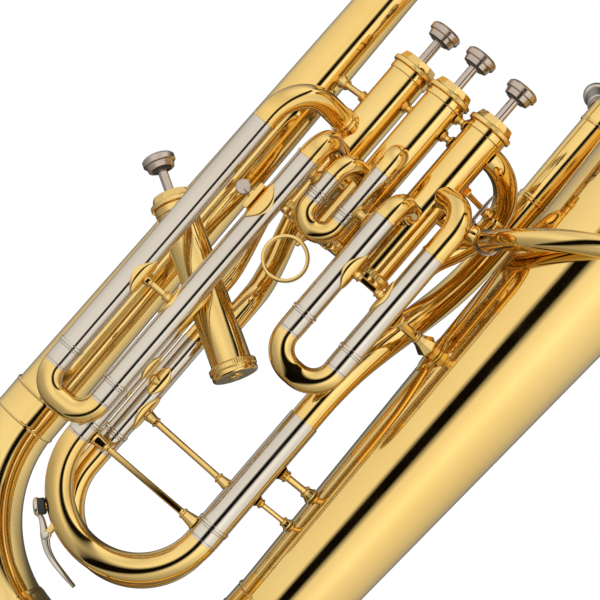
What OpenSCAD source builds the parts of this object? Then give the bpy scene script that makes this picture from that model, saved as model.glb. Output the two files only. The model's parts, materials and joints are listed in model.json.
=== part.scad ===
// Baritone horn with four valves, three upright and one slanted at the side, bell up.
// +X is to the right as seen from the audience side, +Y points to the player, +Z is up.
// The origin lies under the middle of the horn's box, level with the bottom of the bow guard.

/* [Bell] */
// Radius of the bell at its rim
bell_rim_r = 140; // [130:1:145]
// Height of the middle of the rim above the bow guard
bell_rim_z = 680; // [660:1:700]
// Radius of the bell where it joins the bottom bow
bell_foot_r = 30.1; // [29:0.1:31]
// Growth of the bell's radius for each millimetre along its lower cone
bell_taper = 0.0457; // [0.04:0.0001:0.05]
// Length over which the flare shrinks to a third of itself
flare_length = 42; // [36:1:46]
// Lean of the bell to the right, in degrees
bell_lean = 1.19; // [0.8:0.01:1.6]

/* [Main tubing] */
// Wall of every tube
tube_wall = 0.8; // [0.7:0.05:1]
// Radius of the outer branch at its foot
branch_foot_r = 21.1; // [20:0.1:22]
// Radius of the outer branch at its head
branch_head_r = 15.7; // [15:0.1:16.5]
// Radius of the inner branch where it meets the top bow
inner_head_r = 11.5; // [11:0.1:12]
// Height at which both branches meet the top bow
top_bow_z = 528; // [520:1:540]
// Thickness of the guard under the bottom bow
guard_wall = 1.4; // [1.2:0.1:1.8]

/* [Valves] */
// Outer radius of a valve casing
casing_r = 13; // [12.6:0.1:13.2]
// Radius of the bore that the piston runs in
casing_bore_r = 11.7; // [11.5:0.1:11.9]
// Height of the three upright casings
casing_h = 112; // [108:1:114]
// Length of the slanted casing
casing_4_h = 108; // [106:1:110]
// How far a piston is pressed
stroke = 16.5; // [14:0.5:16.5]
// Radial clearance of everything that slides in a bore
running_gap = 0.05; // [0.03:0.01:0.08]
// Radius of a piston's stem
stem_r = 3.15; // [3:0.05:3.3]
// Radius of the knurled rim of a button
button_r = 10.7; // [10:0.1:11]
// Slant of the fourth valve from upright, in degrees
valve_4_slant = 61.8; // [60:0.1:63]
// Direction in which the fourth valve's button points, in degrees about Z
valve_4_heading = 165.2; // [163:0.1:167]

/* [Slides] */
// Outer radius of the first and third slides' tubes
slide_r = 7.95; // [7.8:0.05:8.1]
// Outer radius of the second slide's tubes
slide_2_r = 7; // [6.8:0.05:7.1]
// Outer radius of the fourth slide's tubes
slide_4_r = 7.7; // [7.5:0.05:7.8]
// Outer radius of the main slide's wide right tube
main_right_r = 10.45; // [10.3:0.05:10.6]
// Outer radius of the main slide's narrow left tube
main_left_r = 8.5; // [8.4:0.05:8.6]
// Outer radius of the compensating slides' tubes
comp_r = 5.5; // [5.3:0.1:5.7]

/* [Hidden] */
$fn = 48;

// Offset from the valve group's datum to the middle of the horn's box
box_middle = [71, 4, 0];

// Bell and bottom bow
bell_foot = [117.9, 4];
branch_at = [-85.1, 45];
inner_at = [73.7, 44];
bow_span = norm(bell_foot - branch_at);
bow_r = bow_span / 2;
bow_mid_r = (bell_foot_r + branch_foot_r) / 2;
bow_z = bow_r + bow_mid_r + guard_wall - 0.1;
bell_length = bell_rim_z - bow_z;
flare_gain = bell_rim_r - bell_foot_r - bell_taper * bell_length;

// Valve group
valve_z = 349;
valve_at = [[20.7, -8], [-11.9, -1], [-39.7, 15]];
valve_4_foot = [-6.6, -11.6, 247.4];
bottom_cap_h = 9.8;
top_cap_h = 8.3;
knurl_r = 15.4;
piston_foot = 24;
piston_h = 76;
port_r = 5.6;
stem_show = stroke + 1.2;
felt_h = 0.9;
button_h = 9.6;
spring_r = 8;
spring_wire_r = 0.7;
spring_turns = 6;

// Slides: [x, y] of the left and right tubes
slide_1 = [[7, -39], [44.1, -39]];
slide_2 = [[-34.6, -24], [-12.5, -24]];
slide_3 = [[-88, -29], [-52.6, -29]];
slide_4 = [[-33.8, 8], [54.4, 23]];
main_slide = [[-49.9, -10.5], [50.7, -10.5]];
slide_1_end = 300.5;
slide_1_low = 269;
slide_2_low = 342.7;
slide_3_end = 192.5;
slide_3_low = 163.3;
slide_4_end = 165.8;
slide_4_bow_z = 140;
main_end = 162.8;
main_bow_z = 151.8;
tube_inset = tube_wall + running_gap;
leg_wall = 0.7;
bead_h = 2;
stop_gap = 0.3;

// Compensating slides behind the upright valves
comp_at = [[[10, 21], [26, 21]], [[-21.5, 27.5], [-5.5, 27.5]], [[-50, 55], [-34, 55]]];
comp_z = [[392, 378], [392, 378], [420, 405]];
comp_end = 362;
comp_low = 347;

// Water keys and lyre holder
key_1_pivot = [-24.5, -10.5, 92];
key_2_pivot = [49.5, -5.5, 412];
lyre_at = [-61.5, -33, 335];

function unit(v) = v / norm(v);
function lift(p, z) = [p.x, p.y, z];

module brass() color("goldenrod") translate(-box_middle) children();
module silver() color("gainsboro") translate(-box_middle) children();
module nickel() color("tan") translate(-box_middle) children();
module steel() color("silver") translate(-box_middle) children();
module felt() color("darkslategray") translate(-box_middle) children();
module rubber() color("dimgray") translate(-box_middle) children();

// ---- Tube building -------------------------------------------------------------

// Places children with their Z axis along the line from a to b
module along(a, b) {
    d = b - a;
    translate(a) rotate([0, acos(d.z / norm(d)), atan2(d.y, d.x)]) children();
}

module rod(a, b, r) along(a, b) cylinder(h = norm(b - a), r = r);

// Ring or sleeve round Z, from z0 to z1
module sleeve(z0, z1, r, bore)
    translate([0, 0, z0]) difference() {
        cylinder(h = z1 - z0, r = r);
        translate([0, 0, -1]) cylinder(h = z1 - z0 + 2, r = bore);
    }

module straight_tube(a, b, r, wall)
    along(a, b) sleeve(0, norm(b - a), r, r - wall);

// Tube bend of centreline radius big_r at a corner, from direction d1 into d2
module tube_bend(corner, d1, d2, big_r, r, wall) {
    turn = acos(d1 * d2);
    inward = unit(d2 - (d1 * d2) * d1);
    axis = cross(-inward, d1);
    centre = corner - big_r * tan(turn / 2) * d1 + big_r * inward;
    multmatrix([[-inward.x, d1.x, axis.x, centre.x],
                [-inward.y, d1.y, axis.y, centre.y],
                [-inward.z, d1.z, axis.z, centre.z],
                [0, 0, 0, 1]])
        rotate_extrude(angle = turn) translate([big_r, 0]) difference() {
            circle(r = r);
            circle(r = r - wall);
        }
}

// Tube through points p, with a bend of radius bends[i] at each inner point
module tube_run(p, bends, r, wall = tube_wall) {
    last = len(p) - 1;
    dirs = [for (i = [0:last - 1]) unit(p[i + 1] - p[i])];
    cuts = [for (i = [0:last])
        i == 0 || i == last ? 0 : bends[i - 1] * tan(acos(dirs[i - 1] * dirs[i]) / 2)];
    for (i = [0:last - 1])
        if (norm(p[i + 1] - p[i]) - cuts[i] - cuts[i + 1] > 0.01)
            straight_tube(p[i] + cuts[i] * dirs[i], p[i + 1] - cuts[i + 1] * dirs[i], r, wall);
    for (i = [1:1:last - 1])
        tube_bend(p[i], dirs[i - 1], dirs[i], bends[i - 1], r, wall);
}

// Smooth curve through points [x, y, z, radius], with a number of steps between each two
function spline_at(p, i, t) =
    let (a = p[max(i - 1, 0)], b = p[i], c = p[i + 1], d = p[min(i + 2, len(p) - 1)])
    0.5 * (2 * b + (c - a) * t + (2 * a - 5 * b + 4 * c - d) * t * t
        + (3 * b - a - 3 * c + d) * t * t * t);
function spline(p, steps) = concat(
    [for (i = [0:len(p) - 2]) for (k = [0:steps - 1]) spline_at(p, i, k / steps)],
    [p[len(p) - 1]]);

// Half circle from [x, y] point a to b about height z, up (1) or down (-1), radius ra to rb
function half_circle(a, b, z, up, ra, rb, first, last, steps) =
    [for (k = [0:steps])
        let (t = first + (last - first) * k / steps, m = (a + b) / 2 + (a - b) / 2 * cos(t))
        [m.x, m.y, z + up * norm(a - b) / 2 * sin(t), ra + (rb - ra) * t / 180]];

// Side vectors carried along a path without twist
function carry(dirs, i, v) = i == len(dirs) ? [] :
    let (w = unit(v - (v * dirs[i]) * dirs[i])) concat([w], carry(dirs, i + 1, w));

function place(q) = [q[0], q[1], q[2]];

// Tube swept along a route of [x, y, z, radius]; a wall of 0 gives a solid rod
module swept(route, sides, wall, side = [0.2, 1, 0.1]) {
    n = len(route);
    dirs = [for (i = [0:n - 1])
        unit(place(route[min(i + 1, n - 1)]) - place(route[max(i - 1, 0)]))];
    sides_v = carry(dirs, 0, side);
    shells = [for (shrink = wall > 0 ? [0, wall] : [0]) for (i = [0:n - 1])
        for (k = [0:sides - 1])
            let (a = 360 * k / sides, up = cross(dirs[i], sides_v[i]))
            place(route[i]) + (route[i][3] - shrink) * (cos(a) * sides_v[i] + sin(a) * up)];
    inner = n * sides;
    end = (n - 1) * sides;
    skin = [for (i = [0:n - 2]) for (k = [0:sides - 1]) let (m = (k + 1) % sides) each [
        [i * sides + k, (i + 1) * sides + k, (i + 1) * sides + m],
        [i * sides + k, (i + 1) * sides + m, i * sides + m]]];
    lining = [for (f = skin) [f[2] + inner, f[1] + inner, f[0] + inner]];
    lips = [for (k = [0:sides - 1]) let (m = (k + 1) % sides) each [
        [k, m, m + inner, k + inner],
        [end + k, end + k + inner, end + m + inner, end + m]]];
    ends = [[for (k = [0:sides - 1]) k], [for (k = [sides - 1:-1:0]) end + k]];
    polyhedron(points = shells, faces = wall > 0 ? concat(skin, lining, lips)
        : concat(skin, ends), convexity = 6);
}

// ---- Bell and large tubing -----------------------------------------------------

function bell_r(h) = bell_foot_r + bell_taper * h
    + flare_gain * exp((h - bell_length) / flare_length);

module bell() brass() {
    heights = [for (k = [0:26]) bell_length * (1 - pow(1 - k / 26, 1.9))];
    slope_wall = function (h)
        tube_wall * norm([1, (bell_r(h) - bell_r(h - 1))]);
    translate(lift(bell_foot, bow_z)) rotate([0, bell_lean, 0]) {
        rotate_extrude($fn = 96) polygon(concat(
            [for (h = heights) [bell_r(h), h]],
            [for (k = [26:-1:0]) [bell_r(heights[k]) - slope_wall(heights[k]), heights[k]]]));
        translate([0, 0, bell_length]) rotate_extrude($fn = 96)
            translate([bell_rim_r - 2, 0]) circle(r = 2.2, $fn = 24);
    }
}

bow_route = function (first, last, steps, extra)
    [for (q = half_circle(branch_at, bell_foot, bow_z, -1, branch_foot_r, bell_foot_r,
        first, last, steps)) q + [0, 0, 0, extra]];

module bottom_bow() brass() swept(bow_route(0, 180, 20, 0), 32, tube_wall);

module bow_guard() brass()
    swept(bow_route(72, 108, 6, guard_wall - 0.1), 32, guard_wall);

module outer_branch() brass()
    translate(lift(branch_at, bow_z)) difference() {
        cylinder(h = top_bow_z - bow_z, r1 = branch_foot_r, r2 = branch_head_r);
        translate([0, 0, -0.01]) cylinder(h = top_bow_z - bow_z + 0.02,
            r1 = branch_foot_r - tube_wall, r2 = branch_head_r - tube_wall);
    }

module top_bow() brass()
    swept(half_circle(inner_at, branch_at, top_bow_z, 1, inner_head_r, branch_head_r,
        0, 180, 18), 24, tube_wall);

inner_route = [[50.7, -10.5, 250, 9.7], [51, -10.4, 272, 9.7], [53.2, -7, 295, 9.7],
    [58, 2, 318, 9.7], [64, 15.5, 341, 9.7], [70, 32, 366, 9.8], [73.3, 42, 390, 9.9],
    [73.7, 44, 418, 10.2], [73.7, 44, 458, 10.7], [73.7, 44, 495, 11.2],
    [73.7, 44, top_bow_z, inner_head_r]];

module inner_branch() brass() swept(spline(inner_route, 3), 20, tube_wall);

// Leadpipe: three quarters of a turn round the bell at a growing height
pipe_ring = [124, 4];
function lead_point(turn, gap, z, r) =
    [pipe_ring.x - gap * cos(turn), pipe_ring.y - gap * sin(turn), z, r];
lead_route = [[31, -3.5, 403, 6.8], [38, 1, 404, 6.8], [48, 6.2, 406, 6.9],
    [58, 9, 408, 6.9], [64.8, 5.5, 409, 7], lead_point(6, 58, 410, 7),
    lead_point(22, 58, 414, 7.1), lead_point(38, 58, 420.5, 7.1),
    lead_point(56, 58, 431, 7.2), lead_point(74, 58, 442, 7.2),
    lead_point(96, 58, 455, 7.1), lead_point(122, 58.5, 469, 7),
    lead_point(150, 59.5, 482, 6.8), lead_point(178, 61, 492, 6.6),
    lead_point(206, 63, 500, 6.4), lead_point(234, 65, 507, 6.2),
    lead_point(258, 68, 513, 6), [106, 73, 519, 5.8], [90, 78, 525, 5.6],
    [78, 88, 531, 5.4], [70, 101, 537, 5.2]];
lead_end = [70, 101, 537];
receiver_end = [64, 135, 549];

module leadpipe() brass() difference() {
    swept(spline(lead_route, 3), 14, tube_wall);
    upright_space(0);
}

// Receiver socket with a parallel bore that the mouthpiece shank is turned into
module mouthpiece_receiver() silver() {
    length = norm(receiver_end - lead_end);
    along(lead_end, receiver_end) difference() {
        union() {
            cylinder(h = length, r1 = 6.6, r2 = 8.2);
            translate([0, 0, length - 5]) cylinder(h = 5, r = 9);
        }
        translate([0, 0, 4]) cylinder(h = length, r = 6.3);
        translate([0, 0, -1]) cylinder(h = length, r = 4.4);
    }
}

// Sleeves and turned rings where the tubes are soldered together
module ferrules() silver() {
    translate(lift(branch_at, bow_z)) {
        sleeve(0.2, 5, branch_foot_r + 1.2, branch_foot_r);
        sleeve(14, 17, branch_foot_r + 0.9, branch_foot_r - 0.1);
    }
    translate(lift(branch_at, top_bow_z)) sleeve(-14, -0.2, branch_head_r + 1.1, branch_head_r);
    translate(lift(inner_at, top_bow_z)) sleeve(-14, -0.2, inner_head_r + 1, inner_head_r - 0.1);
    translate(lift(bell_foot, bow_z)) rotate([0, bell_lean, 0])
        sleeve(2, 16, bell_foot_r + 1.9, bell_foot_r + 0.5);
    translate([66.2, 5, 409.2]) rotate([90, 0, 0]) sleeve(-2.5, 2.5, 8.6, 6.9);
    translate([62.2, 26.6, 424]) rotate([6, -8, 0]) sleeve(-3, 3, 8.9, 7.7);
    // hinge of the leadpipe's water key
    p = key_2_pivot;
    for (side = [-3.2, 3.2])
        rod([p.x + side, p.y + 7, p.z - 2], [p.x + side, p.y, p.z], 1.1);
    rod([p.x - 4.3, p.y, p.z], [p.x + 4.3, p.y, p.z], 1);
}

// ---- Valves ---------------------------------------------------------------------

// Puts children in the frame of valve i: Z along the piston, 0 at the casing's foot
module at_valve(i)
    if (i < 3) translate(lift(valve_at[i], valve_z)) children();
    else translate(valve_4_foot) rotate([0, valve_4_slant, valve_4_heading]) children();

function casing_length(i) = i < 3 ? casing_h : casing_4_h;

// Ports of each valve: [height above the casing's foot, direction in degrees]
ports = [[[41, 246], [62, 307], [100, 12], [54, 20], [22, 168]],
    [[40, 224], [63, 268], [22, -12], [30, 150]],
    [[59.3, 221], [42.5, 254], [30, -30], [14, 90]],
    [[30, 100], [52, 190], [70, 10], [88, 170]]];

// Solid cylinder that a casing fills, cut out of whatever is soldered to it
module upright_space(i)
    translate(lift(valve_at[i], valve_z - 1)) cylinder(h = casing_h + 2, r = casing_r);

module casing(i) brass() at_valve(i) difference() {
    length = casing_length(i);
    union() {
        cylinder(h = length, r = casing_r);
        translate([0, 0, length - 5]) cylinder(h = 4.8, r = casing_r + 0.8);
    }
    translate([0, 0, -1]) cylinder(h = length + 2, r = casing_bore_r);
    for (p = ports[i]) translate([0, 0, p[0]]) rotate([0, 90, p[1]])
        cylinder(h = casing_r + 2, r = port_r);
}

module piston(i) steel() at_valve(i) difference() {
    translate([0, 0, piston_foot]) cylinder(h = piston_h, r = casing_bore_r - running_gap);
    translate([0, 0, piston_foot - 1]) cylinder(h = 9, r = spring_r + 1.5);
    for (k = [0:2]) translate([0, 0, piston_foot + 20 + 22 * k]) rotate([0, 90, 50 * k])
        translate([0, 0, -casing_r]) cylinder(h = 2 * casing_r, r = port_r);
}

// Stem and finger button, one screwed into the other
module button(i) nickel() at_valve(i) {
    foot = casing_length(i) + top_cap_h + stem_show;
    piston_top = piston_foot + piston_h;
    translate([0, 0, piston_top]) cylinder(h = foot - piston_top + 1, r = stem_r);
    translate([0, 0, foot]) {
        cylinder(h = 3.8, r1 = 8.5, r2 = 9.2);
        translate([0, 0, 3.8]) cylinder(h = 4.4, r = button_r);
        translate([0, 0, 8.2]) cylinder(h = button_h - 8.2, r1 = button_r - 0.4, r2 = 8.8);
    }
}

module felt_washer(i) felt() at_valve(i)
    sleeve(casing_length(i) + top_cap_h + stem_show - felt_h,
        casing_length(i) + top_cap_h + stem_show, 6.4, stem_r);

module top_cap(i) brass() at_valve(i) translate([0, 0, casing_length(i)]) difference() {
    union() {
        cylinder(h = 3.2, r = knurl_r);
        translate([0, 0, 3.2]) cylinder(h = top_cap_h - 3.2, r1 = 13.9, r2 = 12.3, $fn = 20);
    }
    translate([0, 0, -1]) cylinder(h = 3, r = casing_bore_r);
    cylinder(h = top_cap_h + 1, r = stem_r + running_gap);
}

module bottom_caps() brass() for (i = [0:3]) at_valve(i) mirror([0, 0, 1]) difference() {
    union() {
        cylinder(h = 6, r = knurl_r);
        translate([0, 0, 6]) cylinder(h = bottom_cap_h - 7, r = 13.4);
        translate([0, 0, bottom_cap_h - 1]) cylinder(h = 1, r = 4);
    }
    translate([0, 0, -1]) cylinder(h = 7, r = spring_r + 2);
}

// Return spring between the bottom cap and the piston
module spring(i) steel() at_valve(i) {
    foot = -6 + spring_wire_r;
    rise = piston_foot + 8 - spring_wire_r - foot;
    steps = spring_turns * 10;
    swept([for (k = [0:steps]) let (a = 360 * spring_turns * k / steps)
        [spring_r * cos(a), spring_r * sin(a), foot + rise * k / steps, spring_wire_r]],
        5, 0, [0, 0, 1]);
}

// Solid elbow in the XZ plane: out along X at height z, then down to z_end at x = reach
module elbow_core(start, reach, z, bend_r, z_end, r) {
    translate([start, 0, z]) rotate([0, 90, 0]) cylinder(h = reach - bend_r - start, r = r);
    translate([reach - bend_r, 0, z - bend_r]) rotate([90, 0, 0])
        rotate_extrude(angle = 90) translate([bend_r, 0]) circle(r = r);
    translate([reach, 0, z_end]) cylinder(h = z - bend_r - z_end, r = r);
}

// Elbow soldered to upright casing i that leads to the tube standing at leg
module knuckle(i, leg, z, bend_r, z_end, r, wall = tube_wall) {
    toward = leg - valve_at[i];
    translate(valve_at[i]) rotate([0, 0, atan2(toward.y, toward.x)]) difference() {
        elbow_core(casing_r - 4, norm(toward), z, bend_r, z_end, r);
        elbow_core(casing_r - 6, norm(toward), z, bend_r, z_end - 1, r - wall);
        translate([0, 0, z - 2 * r]) cylinder(h = 4 * r, r = casing_r);
    }
}

// Passage between two neighbouring casings
module passage(i, k, z) difference() {
    straight_tube(lift(valve_at[i], z), lift(valve_at[k], z), 6.6, 1);
    upright_space(i);
    upright_space(k);
}

module knuckles() brass() {
    knuckle(0, slide_1[0], 389.5, 12.8, 376.5, slide_r);
    knuckle(0, slide_1[1], 411, 18, 378, slide_r);
    knuckle(1, slide_2[0], 389, 12, 376.3, slide_2_r);
    knuckle(1, slide_2[1], 412, 8, 397.8, slide_2_r);
    knuckle(2, slide_3[0], 408.3, 30, 374.1, slide_r - 0.2);
    knuckle(2, slide_3[1], 391.5, 16.5, 374.7, slide_r - 0.2);
    passage(0, 1, 371);
    passage(1, 2, 379);
}

// ---- Slides ----------------------------------------------------------------------

// Fixed outer tube with a bead at its open lower end
module slide_sheath(p, z_top, z_end, r) translate(p) {
    sleeve(z_end, z_top, r, r - tube_wall);
    sleeve(z_end, z_end + bead_h, r + 0.7, r - 0.1);
}

// Inner leg that runs in the sheath, with the ferrule that stops against its bead
module slide_leg(p, z_top, z_stop, z_low, r) translate(p) {
    sleeve(z_low, z_top, r - tube_inset, r - tube_inset - leg_wall);
    sleeve(z_low, z_stop - stop_gap, r + 0.15, r - tube_inset);
}

// Solid U in the XZ plane, its legs at x = 0 and x = span
module u_core(span, z_top, z_low, bend_r, r) {
    turn_z = z_low + bend_r;
    for (x = [0, span]) translate([x, 0, turn_z]) cylinder(h = z_top - turn_z, r = r);
    for (k = [0, 1]) translate([k == 0 ? span - bend_r : bend_r, 0, turn_z])
        rotate([-90, 0, 0]) rotate([0, 0, 90 * k]) rotate_extrude(angle = 90)
            translate([bend_r, 0]) circle(r = r);
    if (span - 2 * bend_r > 0.01) translate([bend_r, 0, z_low]) rotate([0, 90, 0])
        cylinder(h = span - 2 * bend_r, r = r);
}

// U bow between two standing tubes
module slide_u(ends, z_top, z_low, bend_r, r) {
    toward = ends[1] - ends[0];
    translate(ends[0]) rotate([0, 0, atan2(toward.y, toward.x)]) difference() {
        u_core(norm(toward), z_top, z_low, bend_r, r);
        u_core(norm(toward), z_top + 1, z_low, bend_r, r - tube_wall);
    }
}

module slide_1_tubes() silver() {
    slide_sheath(slide_1[0], 376.5, slide_1_end, slide_r);
    slide_sheath(slide_1[1], 378, slide_1_end, slide_r);
}

module slide_1_bow() brass() {
    for (p = slide_1) slide_leg(p, slide_1_end + 68, slide_1_end, 285.9, slide_r);
    slide_u(slide_1, 285.9, slide_1_low, 16.8, slide_r);
}

module slide_2_tubes() silver() {
    slide_sheath(slide_2[0], 376.3, 361.5, slide_2_r);
    slide_sheath(slide_2[1], 397.8, 362.5, slide_2_r);
}

module slide_2_bow() brass() {
    slide_leg(slide_2[0], 375.5, 361.5, 356, slide_2_r);
    slide_leg(slide_2[1], 392, 362.5, 356, slide_2_r);
    slide_u(slide_2, 356, slide_2_low, 11.05, slide_2_r);
}

// Finger ring soldered under the second slide's bow
module pull_ring() brass() translate([-23.4, -24, 318.5]) rotate([90, 0, 0])
    rotate_extrude() translate([13.6, 0]) circle(r = 1.45, $fn = 24);

module slide_3_tubes() silver() {
    slide_sheath(slide_3[0], 374.1, slide_3_end, slide_r);
    slide_sheath(slide_3[1], 374.7, slide_3_end, slide_r);
}

module slide_3_bow() brass() {
    for (p = slide_3) slide_leg(p, slide_3_end + 150, slide_3_end, 178, slide_r);
    slide_u(slide_3, 178, slide_3_low, 14.4, slide_r);
}

module slide_4_tubes() silver() {
    slide_sheath(slide_4[0], 242, slide_4_end, slide_4_r);
    slide_sheath(slide_4[1], 250, slide_4_end, slide_4_r);
}

module slide_4_bow() brass() {
    for (p = slide_4) slide_leg(p, slide_4_end + 70, slide_4_end, 151, slide_4_r);
    slide_u(slide_4, 151, slide_4_bow_z - norm(slide_4[1] - slide_4[0]) / 2,
        norm(slide_4[1] - slide_4[0]) / 2, slide_4_r);
}

module main_slide_tubes() silver() {
    slide_sheath(main_slide[0], 240.8, main_end, main_left_r);
    slide_sheath(main_slide[1], 250, main_end, main_right_r);
}

module main_slide_bow() brass() {
    slide_leg(main_slide[0], main_end + 70, main_end, main_bow_z, main_left_r);
    slide_leg(main_slide[1], main_end + 76, main_end, main_bow_z, main_right_r);
    swept(half_circle(main_slide[0], main_slide[1], main_bow_z, -1, main_left_r,
        main_right_r, 0, 180, 20), 24, tube_wall);
}

// Stay across the main slide, soldered to both of its ferrules
module main_slide_brace() brass() {
    a = [main_slide[0].x + main_left_r - 0.1, main_slide[0].y, 157.3];
    b = [main_slide[1].x - main_right_r + 0.1, main_slide[1].y, 157.3];
    rod(a, b, 2.6);
    rod(a, a + [5, 0, 0], 4.4);
    rod(b - [5, 0, 0], b, 4.4);
}

// Small slides of the compensating loops
module comp_tubes() silver() for (i = [0:2]) for (k = [0:1])
    knuckle(i, comp_at[i][k], comp_z[i][k], 9, comp_end, comp_r, 0.7);

module comp_slide(i) brass() {
    for (p = comp_at[i]) translate(p) {
        sleeve(comp_end - 4, comp_end + 6.5, comp_r - 0.7 - running_gap, comp_r - 1.5);
        sleeve(comp_end - 4, comp_end - stop_gap, comp_r + 0.3, comp_r - 1.5);
    }
    slide_u(comp_at[i], comp_end - 4, comp_low, 7.8, comp_r);
}

// ---- Fixed windway tubes ----------------------------------------------------------

return_route = [[31, -6, 449, 7.8], [40, -1.5, 448.5, 7.8], [50, 8, 445, 7.8],
    [58.5, 19, 437, 7.8], [62.4, 26.3, 426, 7.8], [61, 28, 410, 7.8], [55, 26, 393, 7.8],
    [48, 22.5, 377, 7.8], [46, 20.5, 358, 7.8], [46.5, 20.8, 330, 7.8],
    [49, 21.8, 300, 7.8], [52.6, 22.7, 275, 7.8], [54.4, 23, 250, 7.8]];

module return_tube() brass() difference() {
    swept(spline(return_route, 3), 14, tube_wall);
    upright_space(0);
}

// Tubes from the upright group into the slanted valve
transfer_route = [[-39.7, 25, 362, 7.8], [-39.6, 34, 361, 7.8], [-38.4, 40, 350, 7.8],
    [-34, 37, 332, 7.8], [-28, 27, 312, 7.8], [-24.4, 14, 296, 7.8],
    [-23.6, 3, 284, 7.8], [-23.6, -2, 272, 7.8], [-23.6, -3.5, 262, 7.8]];
bypass_route = [[-48.6, 22.3, 372, 4.8], [-53.5, 28.5, 371, 4.8], [-56, 33.5, 362, 4.8],
    [-55, 33.5, 345, 4.8], [-51, 27, 325, 4.8], [-45.8, 14, 305, 4.8],
    [-42.8, 5, 290, 4.8], [-42.3, 1, 276, 4.8], [-42.3, 0.5, 266, 4.8]];

module slanted_space() translate(valve_4_foot) rotate([0, valve_4_slant, valve_4_heading])
    translate([0, 0, 1]) cylinder(h = casing_4_h - 2, r = casing_r);

module transfer_tubes() brass() difference() {
    union() {
        swept(spline(transfer_route, 3), 14, tube_wall);
        swept(spline(bypass_route, 2), 12, tube_wall);
        straight_tube([-49.9, -10.5, 272], [-49.9, -10.5, 240.8], main_left_r - 0.3, tube_wall);
        tube_run([[-33.8, -1, 262], [-33.8, 8, 252], [-33.8, 8, 242]], [9],
            slide_4_r - 0.3);
    }
    upright_space(2);
    slanted_space();
}

// ---- Braces ------------------------------------------------------------------------

// Curved solder plate on a tube of radius r, facing the direction turn
module solder_plate(p, r, turn, wide, tall)
    translate(p) rotate([0, 0, turn]) intersection() {
        sleeve(-tall / 2, tall / 2, r + 1.1, r);
        rotate([0, 90, 0]) linear_extrude(height = r + 3) oval(tall, wide);
    }

module oval(tall, wide) intersection() {
    translate([0, -(tall * tall / wide - wide) / 4]) circle(d = (tall * tall / wide + wide) / 2);
    translate([0, (tall * tall / wide - wide) / 4]) circle(d = (tall * tall / wide + wide) / 2);
}

// Turned stay between two tube walls, thicker at its ends and ringed in the middle
module stay(a, b, r) {
    d = unit(b - a);
    rod(a, b, r);
    rod(a, a + 2.5 * d, r + 1.5);
    rod(b - 2.5 * d, b, r + 1.5);
    rod((a + b) / 2 - 0.8 * d, (a + b) / 2 + 0.8 * d, r + 0.9);
}

module braces() brass() {
    // first slide
    stay([14.9, -39, 339], [36.2, -39, 339], 2.3);
    solder_plate(lift(slide_1[0], 339), slide_r, -30, 15, 26);
    solder_plate(lift(slide_1[1], 339), slide_r, 180, 12, 24);
    // third slide
    stay([-80.1, -29, 253.5], [-60.5, -29, 253.5], 2.4);
    solder_plate(lift(slide_3[0], 253.5), slide_r, -30, 15, 25);
    solder_plate(lift(slide_3[1], 253.5), slide_r, 180, 12, 22);
    // fourth slide to main slide
    stay([-26.1, 7.5, 187.5], [41.6, -3.9, 187.5], 2.3);
    // bead on the fourth slide's front
    rod([-35.9, 0.7, 208], [-37.6, -5.1, 208], 3.2);
    // pads between neighbouring slides
    stay([-45.6, -27, 368.5], [-41, -25.8, 368.5], 3.5);
    stay([-6.9, -28, 368.5], [0.6, -34.3, 368.5], 3.5);
    // bell stays
    stay([51.8, -36, 334], [86.2, -8, 334], 2.8);
    stay([60.8, -9.6, 216], [84.9, -1.5, 216], 2.4);
    stay([60.8, -9.6, 193], [85.8, -1.5, 193], 2.1);
    // spacers between the casings, and from the first casing to the return tube
    for (z = [441, 455]) stay([1, -3.8, z], [8, -5.3, z], 2.6);
    stay([-28.7, 8.2, 441], [-22.9, 5.3, 441], 2.6);
    stay([32.9, -3.4, 424], [55.3, 18, 424], 2.2);
    // outer branch to the third casing
    stay([-71, 35.7, 430], [-50.5, 22.2, 430], 2.6);
}

// ---- Water keys and lyre holder -------------------------------------------------------

// Spit valve of the main slide: nipple and hinge saddle soldered to the bow
module key_saddle_1() brass() {
    rod([-33, -10.5, 109.5], [-36.6, -10.5, 105.4], 4);
    p = key_1_pivot;
    for (side = [-1, 1]) hull() {
        translate([p.x - 2.5, p.y + side * 3.6 - 0.9, p.z + 8]) cube([5, 1.8, 1]);
        translate([p.x, p.y + side * 3.6 + 0.9, p.z]) rotate([90, 0, 0])
            cylinder(h = 1.8, r = 2.2, $fn = 24);
    }
    rod([p.x, p.y - 4.8, p.z], [p.x, p.y + 4.8, p.z], 1);
}

// Lever with its cup at one end and a finger touch at the other
module water_key_1() silver() {
    p = key_1_pivot;
    difference() {
        union() {
            rod([p.x, p.y - 2.5, p.z], [p.x, p.y + 2.5, p.z], 2.1);
            rod([p.x, p.y, p.z], [-38, p.y, 99.2], 1.6);
            hull() {
                translate([p.x, p.y + 2, p.z]) rotate([90, 0, 0]) cylinder(h = 4, r = 1, $fn = 24);
                translate([p.x + 16, p.y + 2.4, p.z - 9]) rotate([90, 0, 0])
                    cylinder(h = 4.8, r = 0.9, $fn = 24);
            }
            hull() {
                translate([p.x + 16, p.y + 2.4, p.z - 9]) rotate([90, 0, 0])
                    cylinder(h = 4.8, r = 0.9, $fn = 24);
                translate([p.x + 34, p.y + 4, p.z - 13]) rotate([90, 0, 0])
                    cylinder(h = 8, r = 0.9, $fn = 24);
            }
        }
        rod([p.x, p.y - 6, p.z], [p.x, p.y + 6, p.z], 1.05);
    }
    rod([-41.6, p.y, 99.8], [-39.6, p.y, 102], 6);
}

module key_pad_1() rubber() rod([-39.6, -10.5, 102], [-36.8, -10.5, 105.2], 5.4);

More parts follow.
